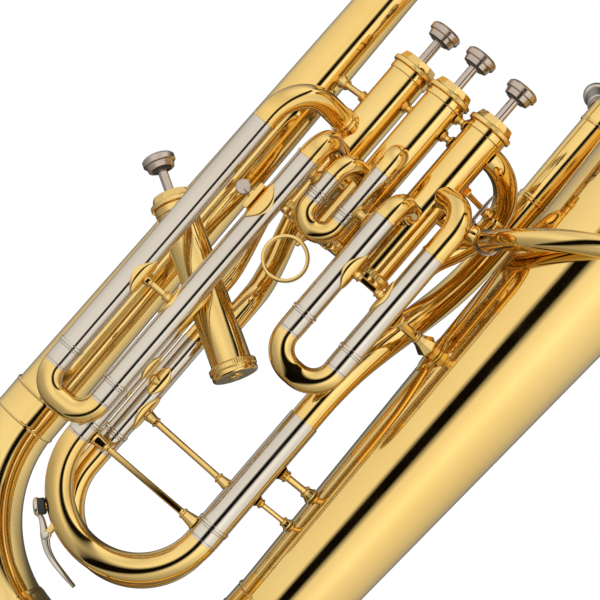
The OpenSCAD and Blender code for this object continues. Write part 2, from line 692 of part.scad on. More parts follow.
// Spit valve of the leadpipe: an upright lever whose foot carries the cup
module water_key_2() silver() {
    p = key_2_pivot;
    difference() {
        union() {
            rod([p.x - 2, p.y, p.z], [p.x + 2, p.y, p.z], 1.9);
            rod([p.x, p.y, p.z + 1.2], [p.x, p.y - 1.5, p.z + 21], 1.3);
            rod([p.x, p.y, p.z - 1.2], [p.x, p.y + 0.6, p.z - 7], 1.2);
        }
        rod([p.x - 3, p.y, p.z], [p.x + 3, p.y, p.z], 1.05);
    }
    rod([p.x, p.y, p.z - 8], [p.x, p.y + 2.6, p.z - 7.4], 3.6);
}

module lyre_holder() brass() {
    solder_plate(lift(slide_3[1], lyre_at.z), slide_r, 225, 15, 26);
    difference() {
        translate([lyre_at.x - 3, lyre_at.y - 3, lyre_at.z - 9]) cube([8.2, 8, 18]);
        translate([lyre_at.x - 1.5, lyre_at.y - 1, lyre_at.z - 10]) cube([4, 4, 20]);
        rod([lyre_at.x - 10, lyre_at.y + 1, lyre_at.z], [lyre_at.x - 1, lyre_at.y + 1, lyre_at.z],
            1.75);
        translate(lift(slide_3[1], lyre_at.z - 10)) cylinder(h = 20, r = slide_r + 0.4);
    }
}

// Thumb screw with a flat round head, which clamps the music clip
module lyre_screw() nickel() {
    y = lyre_at.y + 1;
    rod([lyre_at.x - 6.5, y, lyre_at.z], [lyre_at.x - 1.8, y, lyre_at.z], 1.7);
    translate([lyre_at.x - 9.7, y, lyre_at.z]) rotate([90, 0, 0])
        cylinder(h = 2.2, r = 4.8, center = true);
}

bell();
bottom_bow();
bow_guard();
outer_branch();
top_bow();
inner_branch();
ferrules();
leadpipe();
mouthpiece_receiver();
casing(0);  // casing_1
casing(1);  // casing_2
casing(2);  // casing_3
casing(3);  // casing_4
knuckles();
top_cap(0);  // top_cap_1
top_cap(1);  // top_cap_2
top_cap(2);  // top_cap_3
top_cap(3);  // top_cap_4
bottom_caps();
piston(0);  // piston_1
piston(1);  // piston_2
piston(2);  // piston_3
piston(3);  // piston_4
button(0);  // button_1
button(1);  // button_2
button(2);  // button_3
button(3);  // button_4
felt_washer(0);  // felt_1
felt_washer(1);  // felt_2
felt_washer(2);  // felt_3
felt_washer(3);  // felt_4
spring(0);  // spring_1
spring(1);  // spring_2
spring(2);  // spring_3
spring(3);  // spring_4
slide_1_tubes();
slide_1_bow();
slide_2_tubes();
slide_2_bow();
pull_ring();
slide_3_tubes();
slide_3_bow();
slide_4_tubes();
slide_4_bow();
main_slide_tubes();
main_slide_bow();
main_slide_brace();
comp_tubes();
comp_slide(0);  // comp_slide_1
comp_slide(1);  // comp_slide_2
comp_slide(2);  // comp_slide_3
return_tube();
transfer_tubes();
braces();
water_key_1();
key_pad_1();
key_saddle_1();
water_key_2();
lyre_holder();
lyre_screw();
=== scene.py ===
# %% [markdown]
# # A four-valve baritone horn
# The CAD frame fixes every tube, valve and joint. This lesson dresses that frame in polished
# brass and nickel silver. The frame is loaded first, because each surface below is placed from
# it.

# %% Load the frame
import json
import math
import bmesh
import bpy
import numpy as np
from mathutils import Matrix, Vector


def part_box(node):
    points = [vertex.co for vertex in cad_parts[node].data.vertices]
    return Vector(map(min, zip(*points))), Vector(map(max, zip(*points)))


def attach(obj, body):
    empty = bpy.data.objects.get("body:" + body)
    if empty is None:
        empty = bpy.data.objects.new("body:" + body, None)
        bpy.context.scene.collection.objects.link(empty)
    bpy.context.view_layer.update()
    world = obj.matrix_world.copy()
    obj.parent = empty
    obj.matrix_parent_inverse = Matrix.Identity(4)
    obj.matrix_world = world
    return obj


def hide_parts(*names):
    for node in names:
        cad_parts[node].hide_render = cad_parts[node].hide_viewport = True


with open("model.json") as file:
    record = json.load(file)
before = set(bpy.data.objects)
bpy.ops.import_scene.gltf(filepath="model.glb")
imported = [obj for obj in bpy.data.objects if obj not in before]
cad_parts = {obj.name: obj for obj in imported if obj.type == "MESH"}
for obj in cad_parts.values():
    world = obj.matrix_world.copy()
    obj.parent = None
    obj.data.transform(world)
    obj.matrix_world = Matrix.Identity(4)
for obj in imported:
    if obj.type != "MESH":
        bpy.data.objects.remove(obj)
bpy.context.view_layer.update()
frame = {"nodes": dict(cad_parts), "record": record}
MM = 0.001

# %% [markdown]
# ## One datum for every piece
# A horn maker works from the valve group. The middle casing stands at a known place from the
# datum, so reading its box in the frame gives the datum, and points can be written in
# millimetres beside it, as on a workshop drawing.

# %% Datum of the valve group
def middle(node):
    """Middle of a node's box: half the sum of its lowest and highest corners."""
    low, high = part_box(node)
    return (np.array(low) + np.array(high)) / 2


def corners(node):
    """Lowest and highest corner of a node's box, as arrays."""
    low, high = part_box(node)
    return np.array(low), np.array(high)


FIRST_VALVE = np.array([20.7, -8.0])
datum = np.array([*(middle("casing_1")[:2] - FIRST_VALVE * MM), 0.0])


def place(points):
    """Workshop millimetres beside the valve group's datum, turned into metres in the frame."""
    return np.asarray(points, float) * MM + datum


print("datum at", np.round(datum, 4))

# %% [markdown]
# ## The camera
# A long lens at about arm's length and a half keeps the tubes nearly parallel. The horn lies
# across the picture, so the camera is rolled until the valves lean up and to the right.

# %% Camera
VIEW_DISTANCE = 1.15
PICTURE_WIDTH = 0.3762
VIEW_CENTRE = place([0, 0, 305])
HORN_UP_IN_PICTURE = math.radians(49.4)

camera_data = bpy.data.cameras.new("camera")
camera = bpy.data.objects.new("camera", camera_data)
bpy.context.scene.collection.objects.link(camera)
camera_data.sensor_width = 36
camera_data.lens = 36 * VIEW_DISTANCE / PICTURE_WIDTH
right = (math.sin(HORN_UP_IN_PICTURE), 0, math.cos(HORN_UP_IN_PICTURE))
up = (-math.cos(HORN_UP_IN_PICTURE), 0, math.sin(HORN_UP_IN_PICTURE))
back = (0, -1, 0)
spot = VIEW_CENTRE + np.array([0, -VIEW_DISTANCE, 0])
camera.matrix_world = Matrix(
    [[right[i], up[i], back[i], spot[i]] for i in range(3)] + [[0, 0, 0, 1]])
bpy.context.scene.camera = camera
print("lens", round(camera_data.lens, 1), "mm")

# %% [markdown]
# ## The studio
# Polished metal shows nothing but its surroundings, so the room matters more than the lamps. In
# a light tent every tube has pale flanks from the long soft walls and one thin black line,
# which is the slit that the camera looks through. The world below is the tent: its brightness
# follows the compass direction. The slit is a black strip close to the horn, so its line falls
# left of the middle on tubes to its right, and right of the middle on tubes to its left. The
# strip only shows in reflections.

# %% Studio helpers
def node_of(tree, kind, **settings):
    """A new node of a kind, with its properties or its numbered inputs set."""
    made = tree.nodes.new(kind)
    for key, value in settings.items():
        if key.startswith("in_"):
            made.inputs[int(key[3:])].default_value = value
        else:
            setattr(made, key, value)
    return made


def ramp(tree, stops, source):
    """A colour ramp through (place, grey or colour) stops, fed by a socket."""
    made = tree.nodes.new("ShaderNodeValToRGB")
    band = made.color_ramp
    while len(band.elements) < len(stops):
        band.elements.new(1)
    for element, (spot_at, tone) in zip(band.elements, stops):
        element.position = spot_at
        element.color = (tone, tone, tone, 1) if isinstance(tone, (int, float)) else (*tone, 1)
    tree.links.new(source, made.inputs[0])
    return made.outputs[0]


def calculated(tree, operation, *sources):
    """A math node on sockets or plain numbers."""
    made = node_of(tree, "ShaderNodeMath", operation=operation)
    for slot_at, source in zip(made.inputs, sources):
        if isinstance(source, (int, float)):
            slot_at.default_value = source
        else:
            tree.links.new(source, slot_at)
    return made.outputs[0]


# %% The tent
GROUND = 1.0
# compass share clockwise from the camera, 0 to 1 for a full turn, and the brightness there
TENT = [(0.0, 1.0), (0.04, 1.12), (0.09, 1.32), (0.15, 1.08), (0.30, 0.74), (0.40, 0.42),
        (0.455, 0.10), (0.5, 0.07), (0.545, 0.12), (0.60, 0.45), (0.70, 0.85), (0.86, 1.0),
        (0.95, 1.05), (1.0, 1.0)]
# height share (0 straight down, 1 straight up) and the brightness there
DOME = [(0.0, 0.35), (0.25, 0.55), (0.42, 0.95), (0.58, 1.0), (0.8, 0.8), (1.0, 1.1)]

world = bpy.data.worlds.new("studio")
bpy.context.scene.world = world
bpy.context.scene.view_settings.view_transform = "Standard"
world.use_nodes = True
sky = world.node_tree
sky.nodes.clear()
split = node_of(sky, "ShaderNodeSeparateXYZ")
sky.links.new(node_of(sky, "ShaderNodeTexCoord").outputs["Generated"], split.inputs[0])
behind = calculated(sky, "ARCTAN2", calculated(sky, "MULTIPLY", split.outputs[0], -1.0),
                    split.outputs[1])
compass = calculated(sky, "MULTIPLY_ADD", behind, 0.5 / math.pi, 0.5)
height = calculated(sky, "MULTIPLY_ADD", split.outputs[2], 0.5, 0.5)
tent = node_of(sky, "ShaderNodeMix", data_type="RGBA", blend_type="MULTIPLY", in_0=1.0)
sky.links.new(ramp(sky, TENT, compass), tent.inputs[6])
sky.links.new(ramp(sky, DOME, height), tent.inputs[7])
room = node_of(sky, "ShaderNodeBackground")
sky.links.new(tent.outputs[2], room.inputs[0])
ground = node_of(sky, "ShaderNodeBackground", in_0=(GROUND, GROUND, GROUND, 1))
seen = node_of(sky, "ShaderNodeMixShader")
sky.links.new(node_of(sky, "ShaderNodeLightPath").outputs["Is Camera Ray"], seen.inputs[0])
sky.links.new(room.outputs[0], seen.inputs[1])
sky.links.new(ground.outputs[0], seen.inputs[2])
sky.links.new(seen.outputs[0], node_of(sky, "ShaderNodeOutputWorld").inputs[0])
print("tent with", len(TENT), "tones round and", len(DOME), "up")


# %% The slit and the lamps
def flat_sheet(name, corners_at, material):
    """A stage sheet of four corners."""
    mesh = bpy.data.meshes.new(name)
    mesh.from_pydata(corners_at, [], [(0, 1, 2, 3)])
    mesh.materials.append(material)
    made = bpy.data.objects.new(name, mesh)
    bpy.context.scene.collection.objects.link(made)
    return made


slit_ink = bpy.data.materials.new("slit_black")
slit_ink.use_nodes = True
ink = slit_ink.node_tree
ink.nodes.clear()
across_slit = node_of(ink, "ShaderNodeSeparateXYZ")
ink.links.new(node_of(ink, "ShaderNodeTexCoord").outputs["Object"], across_slit.inputs[0])
SLIT_X, SLIT_Y, SLIT_HALF = float(place([45, 0, 0])[0]), float(place([0, -230, 0])[1]), 0.078
off_middle = calculated(ink, "ABSOLUTE",
                        calculated(ink, "SUBTRACT", across_slit.outputs[0], SLIT_X))
cover = ramp(ink, [(0.0, 1.0), (0.42, 1.0), (1.0, 0.0)],
             calculated(ink, "DIVIDE", off_middle, SLIT_HALF))
veil = node_of(ink, "ShaderNodeMixShader")
black = node_of(ink, "ShaderNodeEmission", in_0=(0.004, 0.003, 0.002, 1))
ink.links.new(cover, veil.inputs[0])
ink.links.new(node_of(ink, "ShaderNodeBsdfTransparent").outputs[0], veil.inputs[1])
ink.links.new(black.outputs[0], veil.inputs[2])
ink.links.new(veil.outputs[0], node_of(ink, "ShaderNodeOutputMaterial").inputs[0])
slit = flat_sheet("camera_slit", [(SLIT_X + side * SLIT_HALF, SLIT_Y, z)
                                  for side, z in ((-1, -1.0), (1, -1.0), (1, 2.0), (-1, 2.0))],
                  slit_ink)
slit.visible_camera = slit.visible_diffuse = slit.visible_shadow = False


def soft_light(name, spot_at, size, power):
    """A square area light aimed at the middle of the view, left out of reflections."""
    data = bpy.data.lights.new(name, "AREA")
    data.size, data.energy = size, power
    lamp = bpy.data.objects.new(name, data)
    bpy.context.scene.collection.objects.link(lamp)
    aim = Vector(VIEW_CENTRE - np.array(spot_at))
    lamp.location = spot_at
    lamp.rotation_mode = "QUATERNION"
    lamp.rotation_quaternion = aim.to_track_quat("-Z", "Y")
    lamp.visible_glossy = False


soft_light("left_wall", (-1.5, -0.9, 1.0), 1.2, 4)
soft_light("top_wall", (0.4, -0.6, 2.0), 1.0, 5)
print("slit at", round(SLIT_X, 3), round(SLIT_Y, 3))

# %% [markdown]
# ## Finishes
# The horn's gold is clear lacquer over polished brass, its slide tubes are nickel silver, a
# whiter alloy left bare, and the buttons are nickel plate gone slightly warm. All of them were
# polished on a wheel and then handled. That shared history is one node group: faint wheel
# marks, soft finger haze and a slow drift of tone. Each metal uses it with its own values.

# %% Node groups
def new_group(name, inputs, outputs):
    """An empty shader group with named sockets, and its input and output nodes."""
    tree = bpy.data.node_groups.new(name, "ShaderNodeTree")
    for label, kind, value in inputs:
        socket = tree.interface.new_socket(label, in_out="INPUT", socket_type=kind)
        socket.default_value = value
    for label, kind in outputs:
        tree.interface.new_socket(label, in_out="OUTPUT", socket_type=kind)
    return tree, tree.nodes.new("NodeGroupInput"), tree.nodes.new("NodeGroupOutput")


FLOAT, COLOR = "NodeSocketFloat", "NodeSocketColor"
handled, h_in, h_out = new_group(
    "handled_metal",
    [("Tone", COLOR, (0.8, 0.6, 0.2, 1)), ("Deep Tone", COLOR, (0.7, 0.45, 0.1, 1)),
     ("Polish", FLOAT, 0.1), ("Haze", FLOAT, 0.08), ("Wheel Marks", FLOAT, 0.3)],
    [("Color", COLOR), ("Roughness", FLOAT), ("Height", FLOAT)])
spots = node_of(handled, "ShaderNodeTexCoord")
drift = node_of(handled, "ShaderNodeTexNoise", in_2=9.0, in_3=3.0)
handled.links.new(spots.outputs["Object"], drift.inputs["Vector"])
tone_share = ramp(handled, [(0.35, 0.0), (0.68, 1.0)], drift.outputs["Fac"])
tone = node_of(handled, "ShaderNodeMix", data_type="RGBA")
handled.links.new(tone_share, tone.inputs[0])
handled.links.new(h_in.outputs["Tone"], tone.inputs[6])
handled.links.new(h_in.outputs["Deep Tone"], tone.inputs[7])
fingers = node_of(handled, "ShaderNodeTexNoise", in_2=42.0, in_3=5.0, in_4=0.6)
handled.links.new(spots.outputs["Object"], fingers.inputs["Vector"])
smudge = ramp(handled, [(0.42, 0.0), (0.72, 1.0)], fingers.outputs["Fac"])
haze = calculated(handled, "MULTIPLY_ADD", smudge, h_in.outputs["Haze"],
                  h_in.outputs["Polish"])
stretch = node_of(handled, "ShaderNodeMapping", in_3=(2600.0, 2600.0, 40.0))
handled.links.new(spots.outputs["Object"], stretch.inputs[0])
wheel = node_of(handled, "ShaderNodeTexNoise", in_2=1.0, in_3=2.0)
handled.links.new(stretch.outputs[0], wheel.inputs["Vector"])
marks = calculated(handled, "MULTIPLY", wheel.outputs["Fac"], h_in.outputs["Wheel Marks"])
handled.links.new(tone.outputs[2], h_out.inputs["Color"])
handled.links.new(haze, h_out.inputs["Roughness"])
handled.links.new(marks, h_out.inputs["Height"])
print("group handled_metal ready")

# %% Metals
def metal(name, tone, deep, polish, haze_depth, wheel_marks, lacquer=0.0):
    """A handled metal: the shared group feeds one Principled shader, with lacquer as its coat."""
    made = bpy.data.materials.new(name)
    made.use_nodes = True
    tree = made.node_tree
    skin = tree.nodes["Principled BSDF"]
    group = tree.nodes.new("ShaderNodeGroup")
    group.node_tree = handled
    for socket, value in zip(group.inputs, ((*tone, 1), (*deep, 1), polish, haze_depth,
                                            wheel_marks)):
        socket.default_value = value
    bump = node_of(tree, "ShaderNodeBump")
    bump.inputs["Strength"].default_value = 0.02
    bump.inputs["Distance"].default_value = 0.00005
    tree.links.new(group.outputs["Color"], skin.inputs["Base Color"])
    tree.links.new(group.outputs["Roughness"], skin.inputs["Roughness"])
    tree.links.new(group.outputs["Height"], bump.inputs["Height"])
    tree.links.new(bump.outputs[0], skin.inputs["Normal"])
    skin.inputs["Metallic"].default_value = 1.0
    skin.inputs["Coat Weight"].default_value = lacquer
    skin.inputs["Coat Roughness"].default_value = 0.04
    skin.inputs["Coat IOR"].default_value = 1.5
    return made


BRASS = metal("lacquered_brass", (0.94, 0.665, 0.235), (0.90, 0.60, 0.185), 0.06, 0.06, 0.3, 0.3)
SILVER = metal("nickel_silver", (0.735, 0.66, 0.555), (0.67, 0.59, 0.485), 0.08, 0.06, 0.4)
NICKEL = metal("warm_nickel", (0.63, 0.53, 0.45), (0.55, 0.45, 0.375), 0.18, 0.1, 0.6)
STEEL = metal("lapped_steel", (0.58, 0.58, 0.57), (0.50, 0.50, 0.49), 0.25, 0.08, 0.8)


def matt(name, tone, deep, roughness, grain):
    """A dull material whose colour and bump follow a fine noise of the given grain size."""
    made = bpy.data.materials.new(name)
    made.use_nodes = True
    tree = made.node_tree
    skin = tree.nodes["Principled BSDF"]
    spots_at = node_of(tree, "ShaderNodeTexCoord")
    fine = node_of(tree, "ShaderNodeTexNoise", in_2=1 / grain, in_3=4.0)
    tree.links.new(spots_at.outputs["Object"], fine.inputs["Vector"])
    tree.links.new(ramp(tree, [(0.3, deep), (0.7, tone)], fine.outputs["Fac"]),
                   skin.inputs["Base Color"])
    bump = node_of(tree, "ShaderNodeBump")
    bump.inputs["Distance"].default_value = grain / 4
    bump.inputs["Strength"].default_value = 0.5
    tree.links.new(fine.outputs["Fac"], bump.inputs["Height"])
    tree.links.new(bump.outputs[0], skin.inputs["Normal"])
    skin.inputs["Roughness"].default_value = roughness
    return made


RUBBER = matt("black_rubber", (0.03, 0.03, 0.032), (0.012, 0.012, 0.013), 0.6, 0.0006)
# the felt is coloured near black as painted shade: the colour stands in for the dark hollow under
# each button
FELT_AS_PAINTED_SHADE = matt("felt_painted_shade", (0.09, 0.085, 0.08), (0.04, 0.038, 0.035), 0.95, 0.0004)
SLOTS = {"lacquered_brass": BRASS, "nickel_silver": SILVER, "nickel_plate": NICKEL,
         "stainless_steel": STEEL, "dark_felt": FELT_AS_PAINTED_SHADE, "black_rubber": RUBBER}
print("finishes:", ", ".join(SLOTS))

# %% [markdown]
# ## Carried-over nodes
# Pieces hidden inside the horn, such as the pistons, keep their CAD shape. They only take a
# finish, found through the record's own table of slots.

# %% Finish the CAD nodes
for entry in frame["record"]["subparts"]:
    shell = frame["nodes"][entry["node"]]
    shell.data.materials.clear()
    shell.data.materials.append(SLOTS[entry["material_slot"]])

# %% [markdown]
# ## Surfaces from formulas
# A brass instrument is made of two families of surface. Some parts are turned or spun: an
# outline goes round an axis. The rest are drawn tubes that were bent: a ring goes along a
# route. Both are grids of points, worked out here as whole arrays. Modelling by hand or with
# curve objects would also work, but a formula keeps every wall and joint exact and is easy to
# change. A tube's grid goes along the outside and comes back along the bore, which closes it.

# %% Grids and pieces
FINE_CORNER = math.radians(24)


def length_of(vectors):
    """Length of each vector: the root of the sum of its squared parts."""
    return np.linalg.norm(vectors, axis=-1, keepdims=True)


def faces_of(rows, columns, round_rows):
    """Quads of a grid whose columns close into rings: (i, k), (i, k+1), (i+1, k+1), (i+1, k)."""
    i, k = np.meshgrid(np.arange(rows if round_rows else rows - 1), np.arange(columns),
                       indexing="ij")
    i, k = i.ravel(), k.ravel()
    below, beside = (i + 1) % rows, (k + 1) % columns
    return np.stack([i * columns + k, i * columns + beside,
                     below * columns + beside, below * columns + k], axis=1)


def piece(name, grids, body, nodes, slot="lacquered_brass"):
    """A finished piece from closed grids, riding on a body in place of some CAD nodes."""
    whole = bmesh.new()
    for points, round_rows in grids:
        part = bpy.data.meshes.new("part")
        part.from_pydata(place(points.reshape(-1, 3)), [],
                         faces_of(points.shape[0], points.shape[1], round_rows))
        one = bmesh.new()
        one.from_mesh(part)
        bmesh.ops.remove_doubles(one, verts=one.verts, dist=1e-6)
        bmesh.ops.recalc_face_normals(one, faces=one.faces)
        one.to_mesh(part)
        one.free()
        whole.from_mesh(part)
        bpy.data.meshes.remove(part)
    mesh = bpy.data.meshes.new(name)
    whole.to_mesh(mesh)
    whole.free()
    mesh.shade_smooth()
    mesh.set_sharp_from_angle(angle=FINE_CORNER)
    mesh.materials.append(SLOTS[slot])
    made = bpy.data.objects.new(name, mesh)
    bpy.context.scene.collection.objects.link(made)
    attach(made, body)
    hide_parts(*nodes)


# %% Turned shapes
UPRIGHT = (0.0, 0.0, 1.0)


def sides_of(direction):
    """Unit direction, and two unit vectors square to it and to each other."""
    direction = np.asarray(direction, float)
    direction = direction / length_of(direction)
    helper = np.eye(3)[np.abs(direction).argmin()]
    side = np.cross(direction, helper)
    side = side / length_of(side)
    return direction, side, np.cross(direction, side)


def rounded(outline, radius):
    """Corners of an outline as short parabolas, with a holding point on each side.

    A parabola runs from `radius` before the corner to `radius` after it, kept under a third of
    either edge. Ends on the axis stay where they are."""
    corner = np.asarray(outline, float)
    solid = corner[0, 0] == 0
    to_last, to_next = np.roll(corner, 1, 0) - corner, np.roll(corner, -1, 0) - corner
    before = corner + to_last * np.minimum(radius / length_of(to_last), 0.33)
    after = corner + to_next * np.minimum(radius / length_of(to_next), 0.33)
    t = np.linspace(0, 1, 5)[None, :, None]
    bend = ((1 - t) ** 2 * before[:, None] + 2 * t * (1 - t) * corner[:, None]
            + t ** 2 * after[:, None])
    hold = [(corner + 1.4 * (spot_at - corner))[:, None] for spot_at in (before, after)]
    bend = np.concatenate([hold[0], bend, hold[1]], axis=1)
    if solid:
        return np.vstack([corner[:1], bend[1:-1].reshape(-1, 2), corner[-1:]])
    return bend.reshape(-1, 2)


def turned(outline, foot, axis=UPRIGHT, radius=0.3, columns=72, relief=None):
    """A shape turned round an axis: foot + h·axis + r·(cos a·side + sin a·up).

    An outline of (r, h) that starts on the axis is a solid, any other closes into a ring.
    relief(r, h, a) gives the radius where the surface isn't round."""
    outline = rounded(outline, radius) if radius else np.asarray(outline, float)
    along_axis, side, up = sides_of(axis)
    a = np.linspace(0, 2 * np.pi, columns, endpoint=False)[None, :]
    r, h = outline[:, :1], outline[:, 1:]
    r = r + 0 * a if relief is None else relief(r, h, a)
    points = (np.asarray(foot, float) + h[..., None] * along_axis
              + r[..., None] * (np.cos(a)[..., None] * side + np.sin(a)[..., None] * up))
    return points, outline[0, 0] != 0


def ring(foot, z0, z1, r, bore, axis=UPRIGHT, radius=0.25, columns=72):
    """A plain sleeve of one outer radius and bore between two heights on the axis."""
    return turned([(bore, z0), (r, z0), (r, z1), (bore, z1)], foot, axis, radius, columns)


def bead(foot, height, r, thick, axis=UPRIGHT, columns=72):
    """A rounded bead: a circle of radius `thick` turned round the axis at radius r."""
    a = np.linspace(0, 2 * np.pi, 16, endpoint=False)
    outline = np.stack([r + thick * np.cos(a), height + thick * np.sin(a)], axis=1)
    return turned(outline, foot, axis, 0, columns)


# %% Bent tubes
WALL = 0.8


def tube(route, radius, wall=WALL, sides=56):
    """A closed tube along a route of points: rings outside going out, rings inside coming back.

    A ring's points are centre + r·(cos a·side + sin a·up), where side is square to the route
    and to the axis that the route follows least. A wall of 0 makes a solid rod."""
    route = np.asarray(route, float)
    kept = np.r_[True, length_of(np.diff(route, axis=0))[:, 0] > 5e-3]
    route = route[kept]
    radius = np.broadcast_to(np.asarray(radius, float), kept.shape)[kept]
    heading = np.gradient(route, axis=0)
    heading = heading / length_of(heading)
    side = np.cross(heading, np.eye(3)[np.abs(heading).max(axis=0).argmin()])
    side = side / length_of(side)
    up = np.cross(heading, side)
    a = np.linspace(0, 2 * np.pi, sides, endpoint=False)[None, :, None]
    around = np.cos(a) * side[:, None] + np.sin(a) * up[:, None]
    outside = route[:, None] + radius[:, None, None] * around
    if wall:
        bore = route[:, None] + (radius - wall)[:, None, None] * around
        return np.concatenate([outside, bore[::-1]]), True
    caps = [route[[end], None] + 0 * around[:1] for end in (0, -1)]
    return np.concatenate([caps[0], outside, caps[1]]), False


def bent(corners_at, bends, steps=14):
    """Route through corners, each taken by an arc of its own radius.

    The arc about a corner starts radius·tan(turn/2) before it. Its centre lies square to the
    incoming line, and its points are centre + radius·(-cos t·inward + sin t·incoming). Each
    straight gets a holding point near either end, at a third of it where it is short."""
    spots_at = np.asarray(corners_at, float)
    ways = np.diff(spots_at, axis=0)
    ways = ways / length_of(ways)
    arcs = [spots_at[:1]]
    for corner, way, way_on, big_r in zip(spots_at[1:-1], ways, ways[1:], bends):
        turn = math.acos(float(way @ way_on))
        inward = way_on - (way @ way_on) * way
        inward = inward / length_of(inward)
        centre = corner - big_r * math.tan(turn / 2) * way + big_r * inward
        t = np.linspace(0, turn, steps)[:, None]
        arcs.append(centre + big_r * (-np.cos(t) * inward + np.sin(t) * way))
    route = arcs[:1]
    for last, following in zip(arcs, arcs[1:] + [spots_at[-1:]]):
        straight = following[:1] - last[-1:]
        hold = min(0.4 / max(np.linalg.norm(straight), 1e-6), 1 / 3) * straight
        route += [last[-1:] + hold, following[:1] - hold, following]
    return np.vstack(route)


def flowing(knots, steps=8):
    """Smooth route through [x, y, z, radius] knots: a Catmull-Rom cubic between each two."""
    knots = np.asarray(knots, float)
    wide = np.vstack([knots[:1], knots, knots[-1:]])
    a, b, c, d = (wide[i:len(wide) - 3 + i, None] for i in range(4))
    t = np.linspace(0, 1, steps, endpoint=False)[None, :, None]
    curve = 0.5 * (2 * b + (c - a) * t + (2 * a - 5 * b + 4 * c - d) * t ** 2
                   + (3 * b - a - 3 * c + d) * t ** 3)
    curve = np.vstack([curve.reshape(-1, 4), knots[-1:]])
    return curve[:, :3], curve[:, 3]


def half_circle(a, b, z, up, first=0, last=180, steps=56):
    """Half circle in an upright plane from a to b: middle + half span·cos t, height ± R·sin t.

    Returns the route and the share of the turn reached at each point."""
    a, b = np.asarray(a, float), np.asarray(b, float)
    t = np.linspace(math.radians(first), math.radians(last), steps)
    flat = (a + b) / 2 + (a - b) / 2 * np.cos(t)[:, None]
    big_r = np.linalg.norm(a - b) / 2
    return np.column_stack([flat, z + up * big_r * np.sin(t)]), t / np.pi


print("shapes: turned, ring, bead, tube, bent, flowing, half_circle")

# %% [markdown]
# ## The bell
# A bell is a sheet of brass, hammered and spun on a mandrel until its wall is well under a
# millimetre. Its radius grows slowly along the stem and then exponentially into the flare,
# and its rim is rolled over a wire. The outline is that formula, and the wall is measured
# square to it, so the metal keeps one thickness through the flare.

# %% Bell
BELL_FOOT = np.array([117.9, 4.0])
BELL_RIM_Z = 680.0
BELL_LEAN = math.radians(1.19)
BRANCH = (middle("outer_branch") - datum)[:2] / MM
INNER = np.array([73.7, 44.0])
BELL_FOOT_R, BELL_RIM_R, TAPER, FLARE = 30.1, 140.0, 0.0457, 42.0
BRANCH_FOOT_R, BRANCH_HEAD_R, INNER_HEAD_R = 21.1, 15.7, 11.5
GUARD = 1.3
bow_big_r = np.linalg.norm(BELL_FOOT - BRANCH) / 2
bow_z = bow_big_r + (BELL_FOOT_R + BRANCH_FOOT_R) / 2 + GUARD
bell_length = BELL_RIM_Z - bow_z
bell_axis = (math.sin(BELL_LEAN), 0, math.cos(BELL_LEAN))
bell_at = [*BELL_FOOT, bow_z]


def bell_r(h):
    """Foot radius, plus taper times height, plus a flare that grows by e every FLARE mm."""
    gain = BELL_RIM_R - BELL_FOOT_R - TAPER * bell_length
    return BELL_FOOT_R + TAPER * h + gain * np.exp((h - bell_length) / FLARE)


h = bell_length * (1 - (1 - np.linspace(0, 1, 120)) ** 1.9)
outline = np.stack([bell_r(h), h], axis=1)
slope = np.gradient(outline, axis=0)
slope = slope / length_of(slope)
lining = outline - WALL * np.stack([slope[:, 1], -slope[:, 0]], axis=1)
bell_wall = turned(np.vstack([outline, lining[::-1]]), bell_at, bell_axis, 0, 144)
rolled_rim = bead(bell_at, bell_length, BELL_RIM_R - 2, 2.2, bell_axis, 144)
piece("bell_flare", [bell_wall, rolled_rim], "horn", ["bell"])
print("bell", round(bell_length), "mm long")

# %% [markdown]
# ## Bows, branches and their ferrules
# The bottom bow, the two branches and the top bow carry the air from the valves to the bell.
# They are drawn over tapered steel, filled with pitch and bent, so their radius changes evenly
# along each bow. A ferrule covers every joint: a short sleeve with a line turned at each end.
# The bottom bow wears a guard, because the horn is set down on it.

# %% Bows and branches
TOP_BOW_Z = float((corners("outer_branch")[1][2]) / MM)
bow, turn_share = half_circle(BRANCH, BELL_FOOT, bow_z, -1)
bow_r = BRANCH_FOOT_R + (BELL_FOOT_R - BRANCH_FOOT_R) * turn_share
piece("bottom_bow_tube", [tube(bow, bow_r, sides=80)], "horn", ["bottom_bow"])
guard, turn_share = half_circle(BRANCH, BELL_FOOT, bow_z, -1, 72, 108, 40)
edge = np.minimum(np.arange(40), np.arange(40)[::-1]) / 2.0
guard_r = (BRANCH_FOOT_R + (BELL_FOOT_R - BRANCH_FOOT_R) * turn_share
           + GUARD * np.clip(edge, 0.25, 1) ** 0.5)
piece("bottom_guard", [tube(guard, guard_r, 1.2, sides=80)], "horn", ["bow_guard"])
branch_rise = TOP_BOW_Z - bow_z
branch = turned([(BRANCH_FOOT_R - WALL, 0), (BRANCH_FOOT_R, 0), (BRANCH_HEAD_R, branch_rise),
                 (BRANCH_HEAD_R - WALL, branch_rise)], [*BRANCH, bow_z], radius=0.05,
                columns=80)
piece("outer_branch_tube", [branch], "horn", ["outer_branch"])
bow, turn_share = half_circle(INNER, BRANCH, TOP_BOW_Z, 1)
bow_r = INNER_HEAD_R + (BRANCH_HEAD_R - INNER_HEAD_R) * turn_share
piece("top_bow_tube", [tube(bow, bow_r, sides=72)], "horn", ["top_bow"])
INNER_ROUTE = [[50.7, -10.5, 250, 9.7], [51, -10.4, 272, 9.7], [53.2, -7, 295, 9.7],
               [58, 2, 318, 9.7], [64, 15.5, 341, 9.7], [70, 32, 366, 9.8],
               [73.3, 42, 390, 9.9], [73.7, 44, 418, 10.2], [73.7, 44, 458, 10.7],
               [73.7, 44, 495, 11.2], [73.7, 44, TOP_BOW_Z, INNER_HEAD_R]]
piece("inner_branch_tube", [tube(*flowing(INNER_ROUTE), sides=64)], "horn", ["inner_branch"])
print("bows and branches up to", round(TOP_BOW_Z), "mm")


